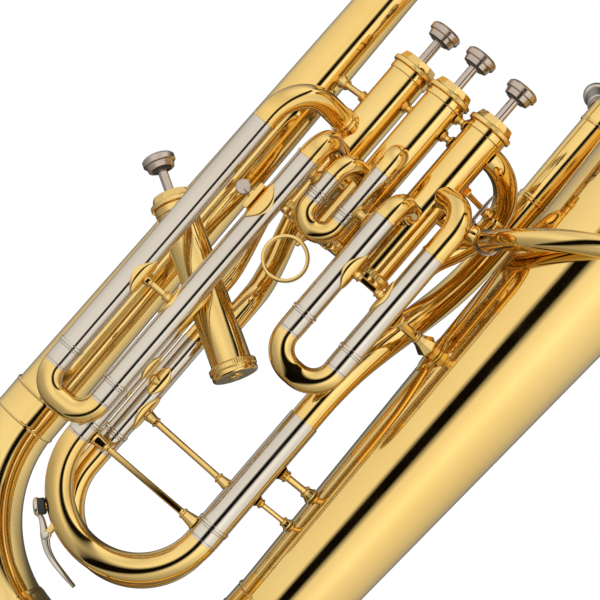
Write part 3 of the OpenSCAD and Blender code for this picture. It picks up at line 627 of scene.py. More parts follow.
# %% Ferrules
def ferrule(foot, low, high, r, axis=UPRIGHT, raised=1.0):
    """Sleeve over a joint: its ends swell into half-round lines, and its middle is plain."""
    h = np.linspace(low, high, 60)
    swell = np.exp(-((h - low - 1.2) / 0.8) ** 2) + np.exp(-((high - 1.2 - h) / 0.8) ** 2)
    out = np.stack([r + raised * (0.55 + 0.45 * swell), h], axis=1)
    bore = np.array([[r - 0.15, high], [r - 0.15, low]])
    return turned(np.vstack([out, bore]), foot, axis, 0, 80)


branch_ferrules = [
    ferrule([*BRANCH, bow_z], -2.4, 19.5, BRANCH_FOOT_R, raised=1.2),
    ferrule([*BRANCH, TOP_BOW_Z], -14, 2, BRANCH_HEAD_R, raised=1.1),
    ferrule([*INNER, TOP_BOW_Z], -14, 2, INNER_HEAD_R, raised=1.0),
    ferrule([*INNER, 452], -2.2, 2.2, 10.6, raised=0.9),
    ferrule(bell_at, -1.5, 16, BELL_FOOT_R + 0.6, bell_axis, raised=1.3),
    ferrule([62.2, 26.6, 424], -3, 3, 7.8, (-0.14, 0.06, 1), raised=0.9)]
piece("joint_ferrules", branch_ferrules, "horn", ["ferrules"])
print(len(branch_ferrules), "ferrules")

# %% [markdown]
# ## The leadpipe, the return tube and the receiver
# The leadpipe takes the air from the mouthpiece, three quarters of the way round the bell, and
# into the first valve, growing a little all the way. The return tube brings it back from the
# first valve to the fourth slide. Their routes are free curves, so a few knots are listed
# and a smooth cubic joins them. The receiver is turned from nickel silver.

# %% Saddle joints
CASING_R = 13.0


def on_casing(grid, axis_at, way, rows):
    """Slides the given rings along `way` onto the casing: way part = √(R² - side part²)."""
    way = np.append(way / np.linalg.norm(way), 0)
    square = np.array([-way[1], way[0], 0])
    rings = grid[rows] - np.append(axis_at, 0)
    aside = rings @ square
    depth = np.sqrt((CASING_R - 0.3) ** 2 - aside ** 2)
    grid[rows] += (depth - rings @ way)[..., None] * way
    return grid


# %% Free tubes
PIPE_RING = np.array([124.0, 4.0])


def round_bell(turn, gap, z, r):
    """A knot of the leadpipe: an angle round the bell's stem, a distance from it, a height."""
    a = math.radians(turn)
    return [PIPE_RING[0] - gap * math.cos(a), PIPE_RING[1] - gap * math.sin(a), z, r]


TURNS = [(6, 58, 410, 7), (22, 58, 414, 7.1), (38, 58, 420.5, 7.1), (56, 58, 431, 7.2),
         (74, 58, 442, 7.2), (96, 58, 455, 7.1), (122, 58.5, 469, 7), (150, 59.5, 482, 6.8),
         (178, 61, 492, 6.6), (206, 63, 500, 6.4), (234, 65, 507, 6.2), (258, 68, 513, 6)]
LEAD_ROUTE = ([[31, -3.5, 403, 6.8], [38, 1, 404, 6.8], [48, 6.2, 406, 6.9],
               [58, 9, 408, 6.9], [64.8, 5.5, 409, 7]] + [round_bell(*turn) for turn in TURNS]
              + [[106, 73, 519, 5.8], [90, 78, 525, 5.6], [78, 88, 531, 5.4],
                 [70, 101, 537, 5.2]])
RETURN_ROUTE = [[31, -6, 449, 7.8], [40, -1.5, 448.5, 7.8], [50, 8, 445, 7.8],
                [58.5, 19, 437, 7.8], [62.4, 26.3, 426, 7.8], [61, 28, 410, 7.8],
                [55, 26, 393, 7.8], [48, 22.5, 377, 7.8], [46, 20.5, 358, 7.8],
                [46.5, 20.8, 330, 7.8], [49, 21.8, 300, 7.8], [52.6, 22.7, 275, 7.8],
                [54.4, 23, 250, 7.8]]
TRANSFER_ROUTE = [[-39.7, 27.6, 362, 7.8], [-39.6, 34, 361, 7.8], [-38.4, 40, 350, 7.8],
                  [-34, 37, 332, 7.8], [-28, 27, 312, 7.8], [-24.4, 14, 296, 7.8],
                  [-23.6, 3, 284, 7.8], [-23.6, -2, 272, 7.8], [-23.6, -3.5, 262, 7.8]]
BYPASS_ROUTE = [[-49.4, 23.0, 372, 4.8], [-53.5, 28.5, 371, 4.8], [-56, 33.5, 362, 4.8],
                [-55, 33.5, 345, 4.8], [-51, 27, 325, 4.8], [-45.8, 14, 305, 4.8],
                [-42.8, 5, 290, 4.8], [-42.3, 1, 276, 4.8], [-42.3, 0.5, 266, 4.8]]
piece("leadpipe_tube", [tube(*flowing(LEAD_ROUTE, 6))], "horn", ["leadpipe"])
piece("return_pipe", [tube(*flowing(RETURN_ROUTE))], "horn", ["return_tube"])
CASING_3_AT = np.array([-39.7, 15])
routes_down = []
for route in (TRANSFER_ROUTE, BYPASS_ROUTE):
    grid, closed = tube(*flowing(route))
    routes_down.append((on_casing(grid, CASING_3_AT, route[0][:2] - CASING_3_AT, [0, -1]), closed))
drops = [*routes_down,
         tube(bent([[-33.8, -1, 262], [-33.8, 8, 252], [-33.8, 8, 242]], [9]), 7.4),
         tube([[-49.9, -10.5, 272], [-49.9, -10.5, 240.8]], 8.2)]
piece("valve_4_feed_tubes", drops, "horn", ["transfer_tubes"])
piece("leadpipe_ring", [ring([66.2, 5, 409.2], -2.5, 2.5, 8.6, 6.9, (0, -1, 0), 0.9)],
      "horn", ["ferrules"], "nickel_plate")
LEAD_END, RECEIVER_END = np.array([70.0, 101, 537]), np.array([64.0, 135, 549])
reach = float(np.linalg.norm(RECEIVER_END - LEAD_END))
receiver = turned([(4.4, 0), (6.6, 0), (7.0, 8), (7.7, 8.5), (7.7, 10.5), (7.0, 11),
                   (7.9, reach - 6.5), (9, reach - 5), (9, reach), (6.3, reach), (6.3, 4),
                   (4.4, 4)], LEAD_END, RECEIVER_END - LEAD_END)
piece("receiver", [receiver], "horn", ["mouthpiece_receiver"], "nickel_silver")
print("free tubes and receiver placed")

# %% [markdown]
# ## The valves
# Each casing is a drawn tube with a collar at the top, and a cap screws on at either end.
# Knurling gives the fingers a grip: a wheel presses fine ridges into the band. It is
# real relief here, a cosine round the rim, because light catches every ridge and a bump map
# would leave the outline smooth. The lower caps have a rope knurl, whose ridges slant, and the
# top cap's cone has ten flats.

# %% Valve places
BUTTON_WAY = math.radians(165.2)
SLANT = math.radians(61.8)
slant_axis = np.array([math.sin(SLANT) * math.cos(BUTTON_WAY),
                       math.sin(SLANT) * math.sin(BUTTON_WAY), math.cos(SLANT)])
BORE_R = 11.7
CASING_H, CASING_4_H = 112.0, 108.0
VALVE_Z = 349.0
valves = [(np.append((middle(f"casing_{i}")[:2] - datum[:2]) / MM, VALVE_Z), UPRIGHT, CASING_H)
          for i in (1, 2, 3)] + [(np.array([-6.6, -11.6, 247.4]), slant_axis, CASING_4_H)]


def knurled(low, high, ridges, depth, slant=0.0):
    """Relief: between two heights r falls by depth·(1 - cos(ridges·a + slant·h))/2."""
    def relief(r, h, a):
        band = np.clip(np.minimum(h - low, high - h) / 0.35, 0, 1) * (r > 5)
        return r - band * depth * (1 - np.cos(ridges * a + slant * h)) / 2
    return relief


def cap_relief(r, h, a):
    """Knurled below the cone; on the cone, ten flats: r·cos(π/10)/cos(angle off the flat)."""
    flats = np.cos(np.pi / 10) / np.cos(np.mod(a, np.pi / 5) - np.pi / 10)
    on_cone = np.clip((h - 3.5) / 0.25, 0, 1) * np.clip((8.4 - h) / 0.15, 0, 1) * (r > 9)
    return knurled(0.5, 2.8, 96, 0.4)(r, h, a) * (1 - on_cone * (1 - flats))


# %% Casings and caps
for number, (foot, axis, tall) in enumerate(valves, 1):
    casing = turned([(BORE_R, 0), (CASING_R, 0), (CASING_R, tall - 5.2),
                     (CASING_R + 0.5, tall - 5.1), (CASING_R + 0.8, tall - 4.6),
                     (CASING_R + 0.8, tall - 0.6), (CASING_R + 0.3, tall),
                     (BORE_R, tall)], foot, axis, 0.2, 96)
    piece(f"valve_casing_{number}", [casing], "horn", [f"casing_{number}"])
    head = foot + tall * np.asarray(axis)
    cap = turned([(3.25, 2.0), (11.6, 2.0), (11.6, 0), (15.0, 0), (15.4, 0.4), (15.4, 2.9),
                  (15.0, 3.2), (13.9, 3.4), (13.4, 5.2), (12.2, 8.3), (5.4, 8.3), (5.0, 7.9),
                  (3.25, 7.9)], head, axis, 0.15, 384, cap_relief)
    piece(f"valve_top_cap_{number}", [cap], "horn", [f"top_cap_{number}"])

for number, (foot, axis, tall) in enumerate(valves, 1):
    cap = turned([(0, 6.4), (10, 6.4), (10, 0), (14.0, 0), (14.2, 0.4), (15.1, 0.8),
                  (15.4, 1.2), (15.4, 4.2), (14.8, 4.6), (14.6, 5.2), (14.8, 5.8),
                  (14.9, 7.4), (14.4, 8.4), (13.4, 8.8), (4.3, 8.8), (4.1, 9.8), (2.0, 9.8),
                  (1.7, 8.6), (0, 8.4)], foot, -np.asarray(axis), 0.18, 320,
                 knurled(1.3, 4.1, 64, 0.55, 4.2))
    piece(f"valve_bottom_cap_{number}", [cap], "horn", ["bottom_caps"])
print(len(valves), "valves with", 2 * len(valves), "knurled caps")

# %% [markdown]
# ## Buttons and felts
# A button is turned from brass, knurled on its rim and nickel plated. Its stem screws into the
# piston. The felt washer under it softens the stop, so it is drawn with a slightly uneven rim,
# as cut felt has.

# %% Buttons and felts
STEM_R, STEM_SHOW, CAP_H = 3.15, 17.7, 8.3
PISTON_TOP = 100.0


def fluffy(r, h, a):
    """Felt's rim wanders by a tenth of a millimetre: the sum of three slow waves."""
    wander = np.sin(7 * a) + np.sin(13 * a + 1) + np.sin(29 * a + 2.2)
    return r + 0.035 * wander * (r > 5)


for number, (foot, axis, tall) in enumerate(valves, 1):
    pad = tall + CAP_H + STEM_SHOW
    button = turned([(0, PISTON_TOP), (STEM_R, PISTON_TOP), (STEM_R, pad - 1), (4.2, pad),
                     (8.3, pad), (8.6, pad + 0.2), (9.2, pad + 3.2), (9.2, pad + 3.7),
                     (10.3, pad + 3.9), (10.7, pad + 4.4), (10.7, pad + 7.8),
                     (10.2, pad + 8.3), (9.6, pad + 8.9), (8.4, pad + 9.6), (7.6, pad + 9.6),
                     (6.9, pad + 9.2), (0, pad + 8.9)], foot, axis, 0.2, 320,
                    knurled(pad + 4.6, pad + 7.5, 80, 0.3))
    piece(f"finger_button_{number}", [button], f"valve_{number}", [f"button_{number}"],
          "nickel_plate")
    washer = turned([(STEM_R + 0.05, pad - 0.9), (6.2, pad - 0.9), (6.4, pad - 0.45),
                     (6.2, pad), (STEM_R + 0.05, pad)], foot, axis, 0.2, 120, fluffy)
    # the washer's near-black felt is painted shade for the hollow under the button
    piece(f"felt_washer_{number}", [washer], f"valve_{number}", [f"felt_{number}"],
          "dark_felt")
print("buttons and felts ride on their valves")

# %% [markdown]
# ## Knuckles
# A knuckle is the short elbow that carries a slide's tube into its casing. Its end is filed to
# fit the round casing before it is silver-soldered. Here the first ring of each tube is slid
# along the tube until it lies on the casing's cylinder, which gives the same saddle joint.


# %% Elbows
def knuckle(number, leg, z, big_r, z_end, r, wall=WALL):
    """Elbow from a casing's wall, out at height z and down to z_end over the leg."""
    axis_at = valves[number - 1][0][:2]
    way = np.asarray(leg) - axis_at
    start = axis_at + way / np.linalg.norm(way) * CASING_R
    grid, closed = tube(bent([[*start, z], [*leg, z], [*leg, z_end]], [big_r], 22), r, wall)
    return on_casing(grid, axis_at, way, [0, -1]), closed


BEAD_R = 0.7


def legs_of(node, left_r, right_r):
    """Middles of a slide's two tubes, from its node's box: each lies a bead's reach inside."""
    low, high = ((corner - datum)[:2] / MM for corner in corners(node))
    thick = max(left_r, right_r) + BEAD_R
    return [[low[0] + left_r + BEAD_R, low[1] + thick],
            [high[0] - right_r - BEAD_R, high[1] - thick]]


SLIDE_R, SLIDE_2_R, SLIDE_4_R = 7.95, 7, 7.7
MAIN_R = (8.5, 10.45)
slide_1, slide_2, slide_3, slide_4 = (
    legs_of(f"slide_{number}_tubes", r, r)
    for number, r in enumerate((SLIDE_R, SLIDE_2_R, SLIDE_R, SLIDE_4_R), 1))
main_slide = legs_of("main_slide_tubes", *MAIN_R)
ELBOWS = [(1, slide_1[0], 389.5, 12.8, 376.5, SLIDE_R), (1, slide_1[1], 411, 18, 378, SLIDE_R),
          (2, slide_2[0], 389, 12, 376.3, SLIDE_2_R), (2, slide_2[1], 412, 8, 397.8, SLIDE_2_R),
          (3, slide_3[0], 408.3, 30, 374.1, 7.75), (3, slide_3[1], 391.5, 16.5, 374.7, 7.75)]
elbows = [knuckle(*elbow) for elbow in ELBOWS]
lips = [ring([*leg, z_end], -1.0, 1.2, r + 0.55, r - 0.5, radius=0.4)
        for number, leg, z, big_r, z_end, r in ELBOWS]
piece("valve_knuckles", elbows + lips, "horn", ["knuckles"])
# passages between the casings, and the ring where the longest elbow starts
joints = []
for first, second, z in [(0, 1, 371), (1, 2, 379)]:
    a, b = valves[first][0][:2], valves[second][0][:2]
    ends = np.stack([a + (b - a) * share for share in (0.3, 0.7)])
    joints.append(tube(np.column_stack([ends, [z, z]]), 6.6, 1))
away = np.array(slide_3[0]) - valves[2][0][:2]
away = away / np.linalg.norm(away)
joints.append(ferrule([*valves[2][0][:2], 408.3], 14.5, 20.5, 7.75, (*away, 0), 0.9))
piece("knuckle_joints", joints, "horn", ["knuckles"])
print(len(elbows), "knuckles")

# %% [markdown]
# ## Tuning slides
# Every slide is a pair of nickel silver tubes that run inside a second pair, because that
# alloy wears well against brass. The outer tube ends in a bead, the moving ferrule stops
# against it, and a brass bow joins the two legs. The inner legs only show when a slide is
# pulled. One function builds any slide from its two legs.

# %% Slides
RUN = 0.05


def sheath(leg, r, top, end):
    """Fixed outer tube with a rolled bead at its lower end and a fine line above it."""
    return turned([(r - WALL, end), (r + 0.55, end), (r + BEAD_R, end + 0.5),
                   (r + BEAD_R, end + 1.5), (r + 0.5, end + 2), (r, end + 2.2),
                   (r, top), (r - WALL, top)], [*leg, 0], radius=0.2)


def slide(name, legs, radii, tops, ends, inner_tops, low, tubes_node, bow_node):
    """Sheaths on the horn; inner legs and ferrules on the moving body."""
    outer = [sheath(*leg) for leg in zip(legs, radii, tops, ends)]
    piece(f"{name}_sheaths", outer, "horn", [tubes_node], "nickel_silver")
    inner, collars = [], []
    for leg, r, end, inner_top in zip(legs, radii, ends, inner_tops):
        foot = [*leg, 0]
        inner.append(ring(foot, low, inner_top, r - WALL - RUN, r - WALL - RUN - 0.7))
        collars.append(turned([(r - 1, low - 0.2), (r + 0.1, low - 0.2), (r + 0.15, low + 0.8),
                               (r - 0.1, low + 1.1), (r - 0.1, low + 1.5), (r + 0.15, low + 1.8),
                               (r + 0.15, end - 1.6), (r + 0.5, end - 1.3),
                               (r + 0.5, end - 0.4), (r - 1, end - 0.4)], foot, radius=0.15))
    piece(f"{name}_legs", inner, name, [bow_node], "nickel_silver")
    piece(f"{name}_collars", collars, name, [bow_node], "nickel_silver")


def u_bow(legs, top, low, big_r, r):
    """Brass bow: down one leg, round two quarter turns, and up the other."""
    a, b = legs
    return tube(bent([[*a, top], [*a, low], [*b, low], [*b, top]], [big_r, big_r], 26), r)


slide("slide_1", slide_1, (SLIDE_R, SLIDE_R), (376.5, 378), (300.5, 300.5), (368.5, 368.5), 285.9,
      "slide_1_tubes", "slide_1_bow")
piece("slide_1_u", [u_bow(slide_1, 285.9, 269, 16.8, SLIDE_R)], "slide_1", ["slide_1_bow"])
slide("slide_2", slide_2, (SLIDE_2_R, SLIDE_2_R), (376.3, 397.8), (361.5, 362.5), (375.5, 392), 356,
      "slide_2_tubes", "slide_2_bow")
piece("slide_2_u", [u_bow(slide_2, 356, 342.7, 11.05, SLIDE_2_R)], "slide_2", ["slide_2_bow"])
slide("slide_3", slide_3, (SLIDE_R, SLIDE_R), (374.1, 374.7), (192.5, 192.5), (342.5, 342.5), 178,
      "slide_3_tubes", "slide_3_bow")
piece("slide_3_u", [u_bow(slide_3, 178, 163.3, 14.4, SLIDE_R)], "slide_3", ["slide_3_bow"])
slide("slide_4", slide_4, (SLIDE_4_R, SLIDE_4_R), (242, 250), (165.8, 165.8), (235.8, 235.8), 151,
      "slide_4_tubes", "slide_4_bow")
bow, turn_share = half_circle(slide_4[0], slide_4[1], 140, -1)
bow = np.vstack([[*slide_4[0], 151], bow, [*slide_4[1], 151]])
piece("slide_4_u", [tube(bow, SLIDE_4_R)], "slide_4", ["slide_4_bow"])
slide("main_slide", main_slide, MAIN_R, (240.8, 250), (162.8, 162.8), (232.8, 238.8),
      151.8, "main_slide_tubes", "main_slide_bow")
bow, turn_share = half_circle(main_slide[0], main_slide[1], 151.8, -1)
bow_r = MAIN_R[0] + (MAIN_R[1] - MAIN_R[0]) * turn_share
piece("main_slide_u", [tube(bow, bow_r, sides=72)], "main_slide", ["main_slide_bow"])
print("five slides")

# %% Pull ring and small slides
finger_ring = ring([-23.4, -24, 318.5], -2.2, 2.2, 15.05, 12.5, (0, 1, 0), 0.8)
ring_foot = turned([(0, 328.5), (1.6, 329.5), (1.2, 332), (2.6, 335), (3.4, 337.5), (0, 338)],
                   [-23.4, -23.8, 0], radius=0.3)
piece("slide_2_pull_ring", [finger_ring, ring_foot], "slide_2", ["pull_ring"])
COMP = [([[10, 21], [26, 21]], (392, 378)), ([[-21.5, 27.5], [-5.5, 27.5]], (392, 378)),
        ([[-50, 55], [-34, 55]], (420, 405))]
COMP_R, COMP_END, COMP_LOW = 5.5, 362, 347
loops = [knuckle(number, leg, z, 9, COMP_END, COMP_R, 0.7)
         for number, (legs, heights) in enumerate(COMP, 1) for leg, z in zip(legs, heights)]
loops += [bead([*leg, COMP_END], 0.8, COMP_R, 0.7) for legs, heights in COMP for leg in legs]
piece("compensating_loops", loops, "horn", ["comp_tubes"], "nickel_silver")
for number, (legs, heights) in enumerate(COMP, 1):
    small = [u_bow(legs, COMP_END - 4, COMP_LOW, 7.5, COMP_R)]
    small += [ring([*leg, 0], COMP_END - 4, COMP_END + 6.5, COMP_R - 0.75, COMP_R - 1.5)
              for leg in legs]
    small += [ring([*leg, 0], COMP_END - 4.5, COMP_END - 0.4, COMP_R + 0.3, COMP_R - 1)
              for leg in legs]
    piece(f"compensating_slide_{number}", small, f"comp_{number}", [f"comp_slide_{number}"])
print("pull ring and", len(COMP), "small slides")

# %% [markdown]
# ## Stays and solder plates
# A brass horn is held in shape by its stays. Each one is turned from rod, with a cone-shaped
# cup at each end and a thin ring where the cup stops, and often stands on a thin plate shaped
# like a lens that spreads the solder. The outline is a straight rod, plus a cone at each end,
# plus a narrow bell curve for each ring.

# %% Stay shapes
def stay(a, b, r, foot_r, cup, ring_at=None):
    """Turned rod: r at its middle, a cone of foot_r in each cup, a thin ring where it ends."""
    a, b = np.asarray(a, float), np.asarray(b, float)
    span = float(np.linalg.norm(b - a))
    h = np.linspace(0, span, 120)
    near = np.minimum(h, span - h)
    in_cup = np.clip((cup - near) / 0.8 + 0.5, 0, 1)
    cups = (foot_r - r) * in_cup * (0.3 + 0.7 * np.clip(1 - near / cup, 0, 1))
    rim = 0.4 * np.exp(-(near / 0.7) ** 4)
    rings = 1.1 * np.exp(-((near - (ring_at or cup)) / 0.75) ** 4)
    waist = 1 - 0.1 * np.sin(np.pi * h / span)
    outline = np.stack([r * waist + cups + rim + rings, h], axis=1)
    return turned(np.vstack([[[0, 0]], outline, [[0, span]]]), a, b - a, 0, 40)


def plate(at, r, turn, wide, tall, thick=1.1):
    """Lens-shaped plate wrapped on an upright tube of radius r, domed towards its edge.

    At height share s and width share q, half its width is wide/2·(1 - s²), and it stands
    thick·(1 - 0.7q⁶)·(1 - 0.6s⁸) off the tube."""
    s = np.linspace(-1, 1, 41)[:, None]
    q = np.concatenate([np.linspace(-1, 1, 25), np.linspace(1, -1, 25)])[None, :]
    over = (np.arange(50) < 25)[None, :]
    off = np.where(over, thick * (1 - 0.7 * q ** 6) * (1 - 0.6 * s ** 8), -0.4)
    angle = math.radians(turn) + q * wide / 2 * (1 - s ** 2) / r
    radius = r + off
    flat = np.stack([radius * np.cos(angle), radius * np.sin(angle),
                     s * tall / 2 + 0 * q], axis=-1)
    return np.asarray(at, float) + flat, False


# %% Stays
# two ends, radius, foot radius, length of the cup at each end
STAYS = [([14.9, -39, 339], [36.2, -39, 339], 2.1, 3.6, 4),
         ([-80.1, -29, 253.5], [-60.5, -29, 253.5], 2.3, 3.8, 4),
         ([-26.1, 7.5, 187.5], [41.6, -3.9, 187.5], 2.3, 4.0, 8),
         ([60.8, -9.6, 216], [84.9, -1.5, 216], 2.6, 4.8, 5),
         ([60.8, -9.6, 193], [85.8, -1.5, 193], 1.8, 3.8, 4),
         ([1, -3.8, 441], [8, -5.3, 441], 2.4, 4.2, 1.6),
         ([1, -3.8, 455], [8, -5.3, 455], 2.4, 4.2, 1.6),
         ([-28.7, 8.2, 441], [-22.9, 5.3, 441], 2.4, 4.2, 1.6),
         ([32.9, -3.4, 424], [55.3, 18, 424], 2.0, 3.4, 4),
         ([-71, 35.7, 430], [-50.5, 22.2, 430], 2.4, 4.2, 5),
         ([-45.6, -27, 368.5], [-41, -25.8, 368.5], 3.6, 4.9, 1.2),
         ([-6.9, -28, 368.5], [0.6, -34.3, 368.5], 3.6, 4.9, 1.2)]
# tube, height, tube radius, direction faced in degrees, width, height of the plate
PLATES = [(slide_1[0], 339, SLIDE_R, -30, 17, 27), (slide_1[1], 339, SLIDE_R, 190, 12, 24),
          (slide_3[0], 253.5, SLIDE_R, -32, 17, 26), (slide_3[1], 253.5, SLIDE_R, 190, 12, 22),
          (slide_4[0], 188, SLIDE_4_R, -25, 14, 27), (slide_4[0], 209, SLIDE_4_R, 268, 13, 22),
          (main_slide[0], 213, MAIN_R[0], 330, 10, 20), (slide_3[1], 369, SLIDE_R, 20, 10, 19),
          (slide_1[0], 369, SLIDE_R, 145, 10, 19)]
turned_stays = [stay(*row) for row in STAYS]
plates = [plate([*leg, z], r, turn, wide, tall) for leg, z, r, turn, wide, tall in PLATES]
piece("turned_stays", turned_stays, "horn", ["braces"])
piece("solder_plates", plates, "horn", ["braces"])
bead_on_plate = turned([(0, 0), (3.4, 0), (3.2, 1.0), (2.0, 1.8), (2.1, 2.4), (3.1, 3.2),
                        (3.3, 4.4), (2.4, 5.7), (0, 6.1)], [-35.9, 0.7, 208],
                       [-1.7, -5.8, 0], 0.3, 64)
piece("slide_4_bead", [bead_on_plate], "horn", ["braces"])
STAY_FROM, STAY_TO = np.array([51.8, -36, 334.0]), np.array([86.2, -8, 334.0])
bell_stay = turned([(0, 0), (5.6, 0), (5.9, 1.0), (4.6, 3), (3.4, 5), (4.2, 5.6), (4.2, 6.8),
                    (3.0, 7.6), (2.9, 20), (4.3, 20.6), (4.3, 22), (3.5, 22.8), (4.6, 27),
                    (7.0, 32.5), (7.2, 33.5), (5.6, 37), (4.8, 44.3), (0, 44.3)],
                   STAY_FROM, STAY_TO - STAY_FROM, 0.3, 8)
bell_plate = plate([BELL_FOOT[0] + 4.2, BELL_FOOT[1], 334], bell_r(334 - bow_z), 194, 26, 30)
piece("bell_stay", [bell_stay, bell_plate], "horn", ["braces"])
cross_stay = stay([main_slide[0][0] + 8.4, -10.5, 157.3],
                  [main_slide[1][0] - 10.35, -10.5, 157.3], 2.3, 4.6, 9.5)
piece("main_slide_stay", [cross_stay], "main_slide", ["main_slide_brace"])
print(len(STAYS) + 2, "stays and", len(plates) + 1, "plates")

# %% [markdown]
# ## Water keys
# Breath condenses in the tubes, so each low bow has a small valve to let it out. A lever
# rocks on a screw between two ears, a spring holds its cup down, and a rubber pad seals the
# nipple. The lever is a strap whose width and thickness change along its route: a rounded
# rectangle, which is a superellipse, is carried along it.


# %% Strap shape
def strap(route, across, widths, thicks, sides=32, squareness=0.45):
    """Bar along a route. Its section is a superellipse: width·sgn(cos)·|cos|^s across, and
    thickness·sgn(sin)·|sin|^s square to that."""
    route = np.asarray(route, float)
    heading = np.gradient(route, axis=0)
    across = np.asarray(across, float)
    up = np.cross(heading, across)
    up = (up / length_of(up))[:, None]
    a = np.linspace(0, 2 * np.pi, sides, endpoint=False)[None, :, None]
    wave = [np.sign(f(a)) * np.abs(f(a)) ** squareness for f in (np.cos, np.sin)]
    wide, thick = (np.broadcast_to(size, len(route))[:, None, None] / 2
                   for size in (widths, thicks))
    rings = route[:, None] + wide * wave[0] * across + thick * wave[1] * up
    caps = [route[[end], None] + 0 * rings[:1] for end in (0, -1)]
    return np.concatenate([caps[0], rings, caps[1]]), False


def arched(points, widths, thicks, steps=10):
    """Smooth route through points with a width and a thickness at each, as three arrays."""
    knots = np.column_stack([np.asarray(points, float), widths])
    route, wide = flowing(knots, steps)
    knots[:, 3] = thicks
    return route, wide, flowing(knots, steps)[1]


# %% Water keys
PIVOT_1 = np.array([-24.5, -10.5, 92.0])
ACROSS = np.array([0.0, 1.0, 0.0])
lever_route, lever_wide, lever_thick = arched(
    PIVOT_1 + np.array([[-14.4, 0, 7.6], [-9, 0, 5.4], [-4, 0, 1.6], [-0.6, 0, -1.2],
                        [6, 0, -6.6], [13.6, 0, -9.8], [24, 0, -12], [34, 0, -13.6]]),
    [4.2, 3.8, 4.2, 4.6, 4.4, 4.8, 6.6, 7.6], [2.6, 3.4, 4.6, 5.6, 4.4, 3.6, 2.8, 1.6])
key_way = np.array([2.0, 0, 2.2])
key_1 = [strap(lever_route, ACROSS, lever_wide, lever_thick),
         turned([(0, -3.0), (2.6, -3.0), (2.6, 3.0), (0, 3.0)], PIVOT_1, ACROSS, 0.3, 40),
         turned([(0, -0.6), (4.6, -0.2), (6, 1.0), (6, 2.7), (5.5, 3.0), (0, 3.0)],
                [-41.6, -10.5, 99.8], key_way, 0.4, 64)]
piece("water_key_lever_1", key_1, "key_1", ["water_key_1"], "nickel_silver")
pad_1 = turned([(0, 0), (5.2, 0), (5.4, 0.4), (5.3, 3.6), (4.6, 4.2), (0, 4.25)],
               [-39.6, -10.5, 102], [2.8, 0, 3.2], 0.4, 56)
piece("water_key_pad_1", [pad_1], "key_1", ["key_pad_1"], "black_rubber")
saddle = [turned([(0, 0), (4.0, 0), (3.2, 1.2), (2.9, 4.8), (3.2, 5.4), (0, 5.4)],
                 [-33, -10.5, 109.5], [-3.6, 0, -4.1], 0.3, 48)]
pivot_screw = turned([(0, -5.9), (2.2, -5.7), (2.8, -5.2), (2.9, -4.7), (1.0, -4.6), (1.0, 4.6),
                      (1.9, 4.7), (1.9, 5.2), (0, 5.4)], PIVOT_1, ACROSS, 0.15, 40)
saddle += [strap(PIVOT_1 + np.array([[0, y, 9.2], [0, y, 6], [0, y, 2], [0, y, -1.2],
                                     [0, y, -2.2]]), ACROSS, 1.7, [6.4, 5.0, 4.2, 3.8, 1.6])
           for y in (-3.9, 3.9)]
coils = np.linspace(0, 1, 120)
wire = np.column_stack([2.9 * np.cos(2 * np.pi * 3 * coils), -2.3 + 1.5 * coils,
                        2.9 * np.sin(2 * np.pi * 3 * coils)])
saddle.append(tube(PIVOT_1 + wire, 0.35, 0, 10))
piece("water_key_saddle_1", saddle, "main_slide", ["key_saddle_1"])
piece("water_key_screw_1", [pivot_screw], "main_slide", ["key_saddle_1"], "nickel_silver")

PIVOT_2 = np.array([49.5, -5.5, 412.0])
touch_route, touch_wide, touch_thick = arched(
    PIVOT_2 + np.array([[0, 0.6, -7.4], [0, 0.2, -3], [0, 0, 0], [0, -0.2, 5], [0, -0.8, 11],
                        [0, -1.2, 16], [0, -1.5, 21]]),
    [2.2, 2.6, 3.0, 2.4, 2.6, 2.2, 1.4], [2.2, 2.2, 3.4, 2.2, 2.6, 2.0, 1.4])
key_2 = [strap(touch_route, (1, 0, 0), touch_wide, touch_thick),
         turned([(0, -2), (1.9, -2), (1.9, 2), (0, 2)], PIVOT_2, (1, 0, 0), 0.3, 40),
         turned([(0, -0.2), (2.6, 0), (3.6, 0.7), (3.6, 2.2), (3.2, 2.6), (0, 2.6)],
                PIVOT_2 + [0, 0, -8], [0, 2.6, 0.6], 0.3, 48)]
piece("water_key_lever_2", key_2, "key_2", ["water_key_2"], "nickel_plate")
hinge = [tube([PIVOT_2 + [x, 7, -2], PIVOT_2 + [x, 3.5, -1], PIVOT_2 + [x, 0, 0]], 1.1, 0, 24)
         for x in (-3.2, 3.2)]
hinge.append(turned([(0, -4.6), (1.6, -4.5), (1.6, -3.7), (1, -3.6), (1, 4.2), (0, 4.3)],
                    PIVOT_2, (1, 0, 0), 0.15, 32))
piece("water_key_hinge_2", hinge, "horn", ["ferrules"])
print("two water keys")

# %% [markdown]
# ## The lyre holder
# A marching player clips a music lyre into this little block. A thumb screw with a flat round
# head clamps its stem. The block is a soldered casting, so its edges are soft: a superellipse
# again, with three walls and the tube's plate round the square socket that takes the stem.

# %% Lyre holder
LYRE = np.array([-61.5, -33.0, 335.0])
UP_SPAN = np.array([[0, 0, -9.0], [0, 0, -8.6], [0, 0, -4], [0, 0, 4], [0, 0, 8.6], [0, 0, 9.0]])


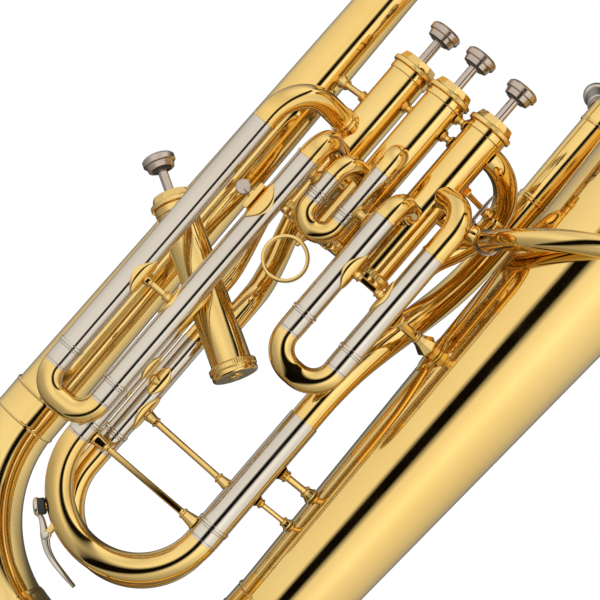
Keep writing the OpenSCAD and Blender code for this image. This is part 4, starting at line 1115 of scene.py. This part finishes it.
def block(x0, x1, y0, y1):
    """Upright bar with soft corners that fills a rectangle in plan."""
    route = LYRE + UP_SPAN + [(x0 + x1) / 2, (y0 + y1) / 2, 0]
    ends = np.array([0.86, 0.98, 1, 1, 0.98, 0.86])
    return strap(route, (1, 0, 0), (x1 - x0) * ends, (y1 - y0) * ends, 40, 0.25)


walls = [block(-3, -1.5, -3, 5), block(-3, 0.5, -3, -1), block(-3, 2.6, 3, 5)]
screw_boss = turned([(0, -4.4), (2.6, -4.4), (3.1, -4.0), (3.1, -1.6), (0, -1.6)],
                    LYRE + [0, 1, 0], (1, 0, 0), 0.2, 48)
holder = walls + [screw_boss, plate([*slide_3[1], 335], SLIDE_R, 226, 18, 27)]
piece("lyre_socket_block", holder, "horn", ["lyre_holder"])
shank = turned([(0, -1.8), (1.7, -1.8), (1.7, -4.6), (2.3, -5.0), (2.1, -5.8), (1.6, -8.5),
                (0, -8.6)], LYRE + [0, 1, 0], (1, 0, 0), 0.25, 48)
coin = turned([(0, -1.1), (4.2, -1.1), (4.8, -0.7), (4.8, 0.7), (4.2, 1.1), (0, 1.1)],
              LYRE + [-9.7, 1, 0], ACROSS, 0.3, 96)
piece("lyre_thumb_screw", [shank, coin], "clamp_screw", ["lyre_screw"], "nickel_plate")
print("lyre holder and thumb screw")

# %% [markdown]
# The horn hangs just over a plain pale floor. The floor is left out of reflections, where it
# would cut every tube's bright lines in half.

# %% Floor
floor_paint = bpy.data.materials.new("pale_floor")
floor_paint.use_nodes = True
paint = floor_paint.node_tree.nodes["Principled BSDF"]
paint.inputs["Base Color"].default_value = (0.3, 0.3, 0.3, 1)
paint.inputs["Roughness"].default_value = 1.0
paint.inputs["Emission Color"].default_value = (1, 1, 1, 1)
paint.inputs["Emission Strength"].default_value = 0.8
FLOOR_REACH, FLOOR_Z = 30.0, -0.02
floor = flat_sheet("floor", [(FLOOR_REACH * x, FLOOR_REACH * y, FLOOR_Z)
                             for x, y in ((-1, -1), (1, -1), (1, 1), (-1, 1))], floor_paint)
floor.visible_glossy = False
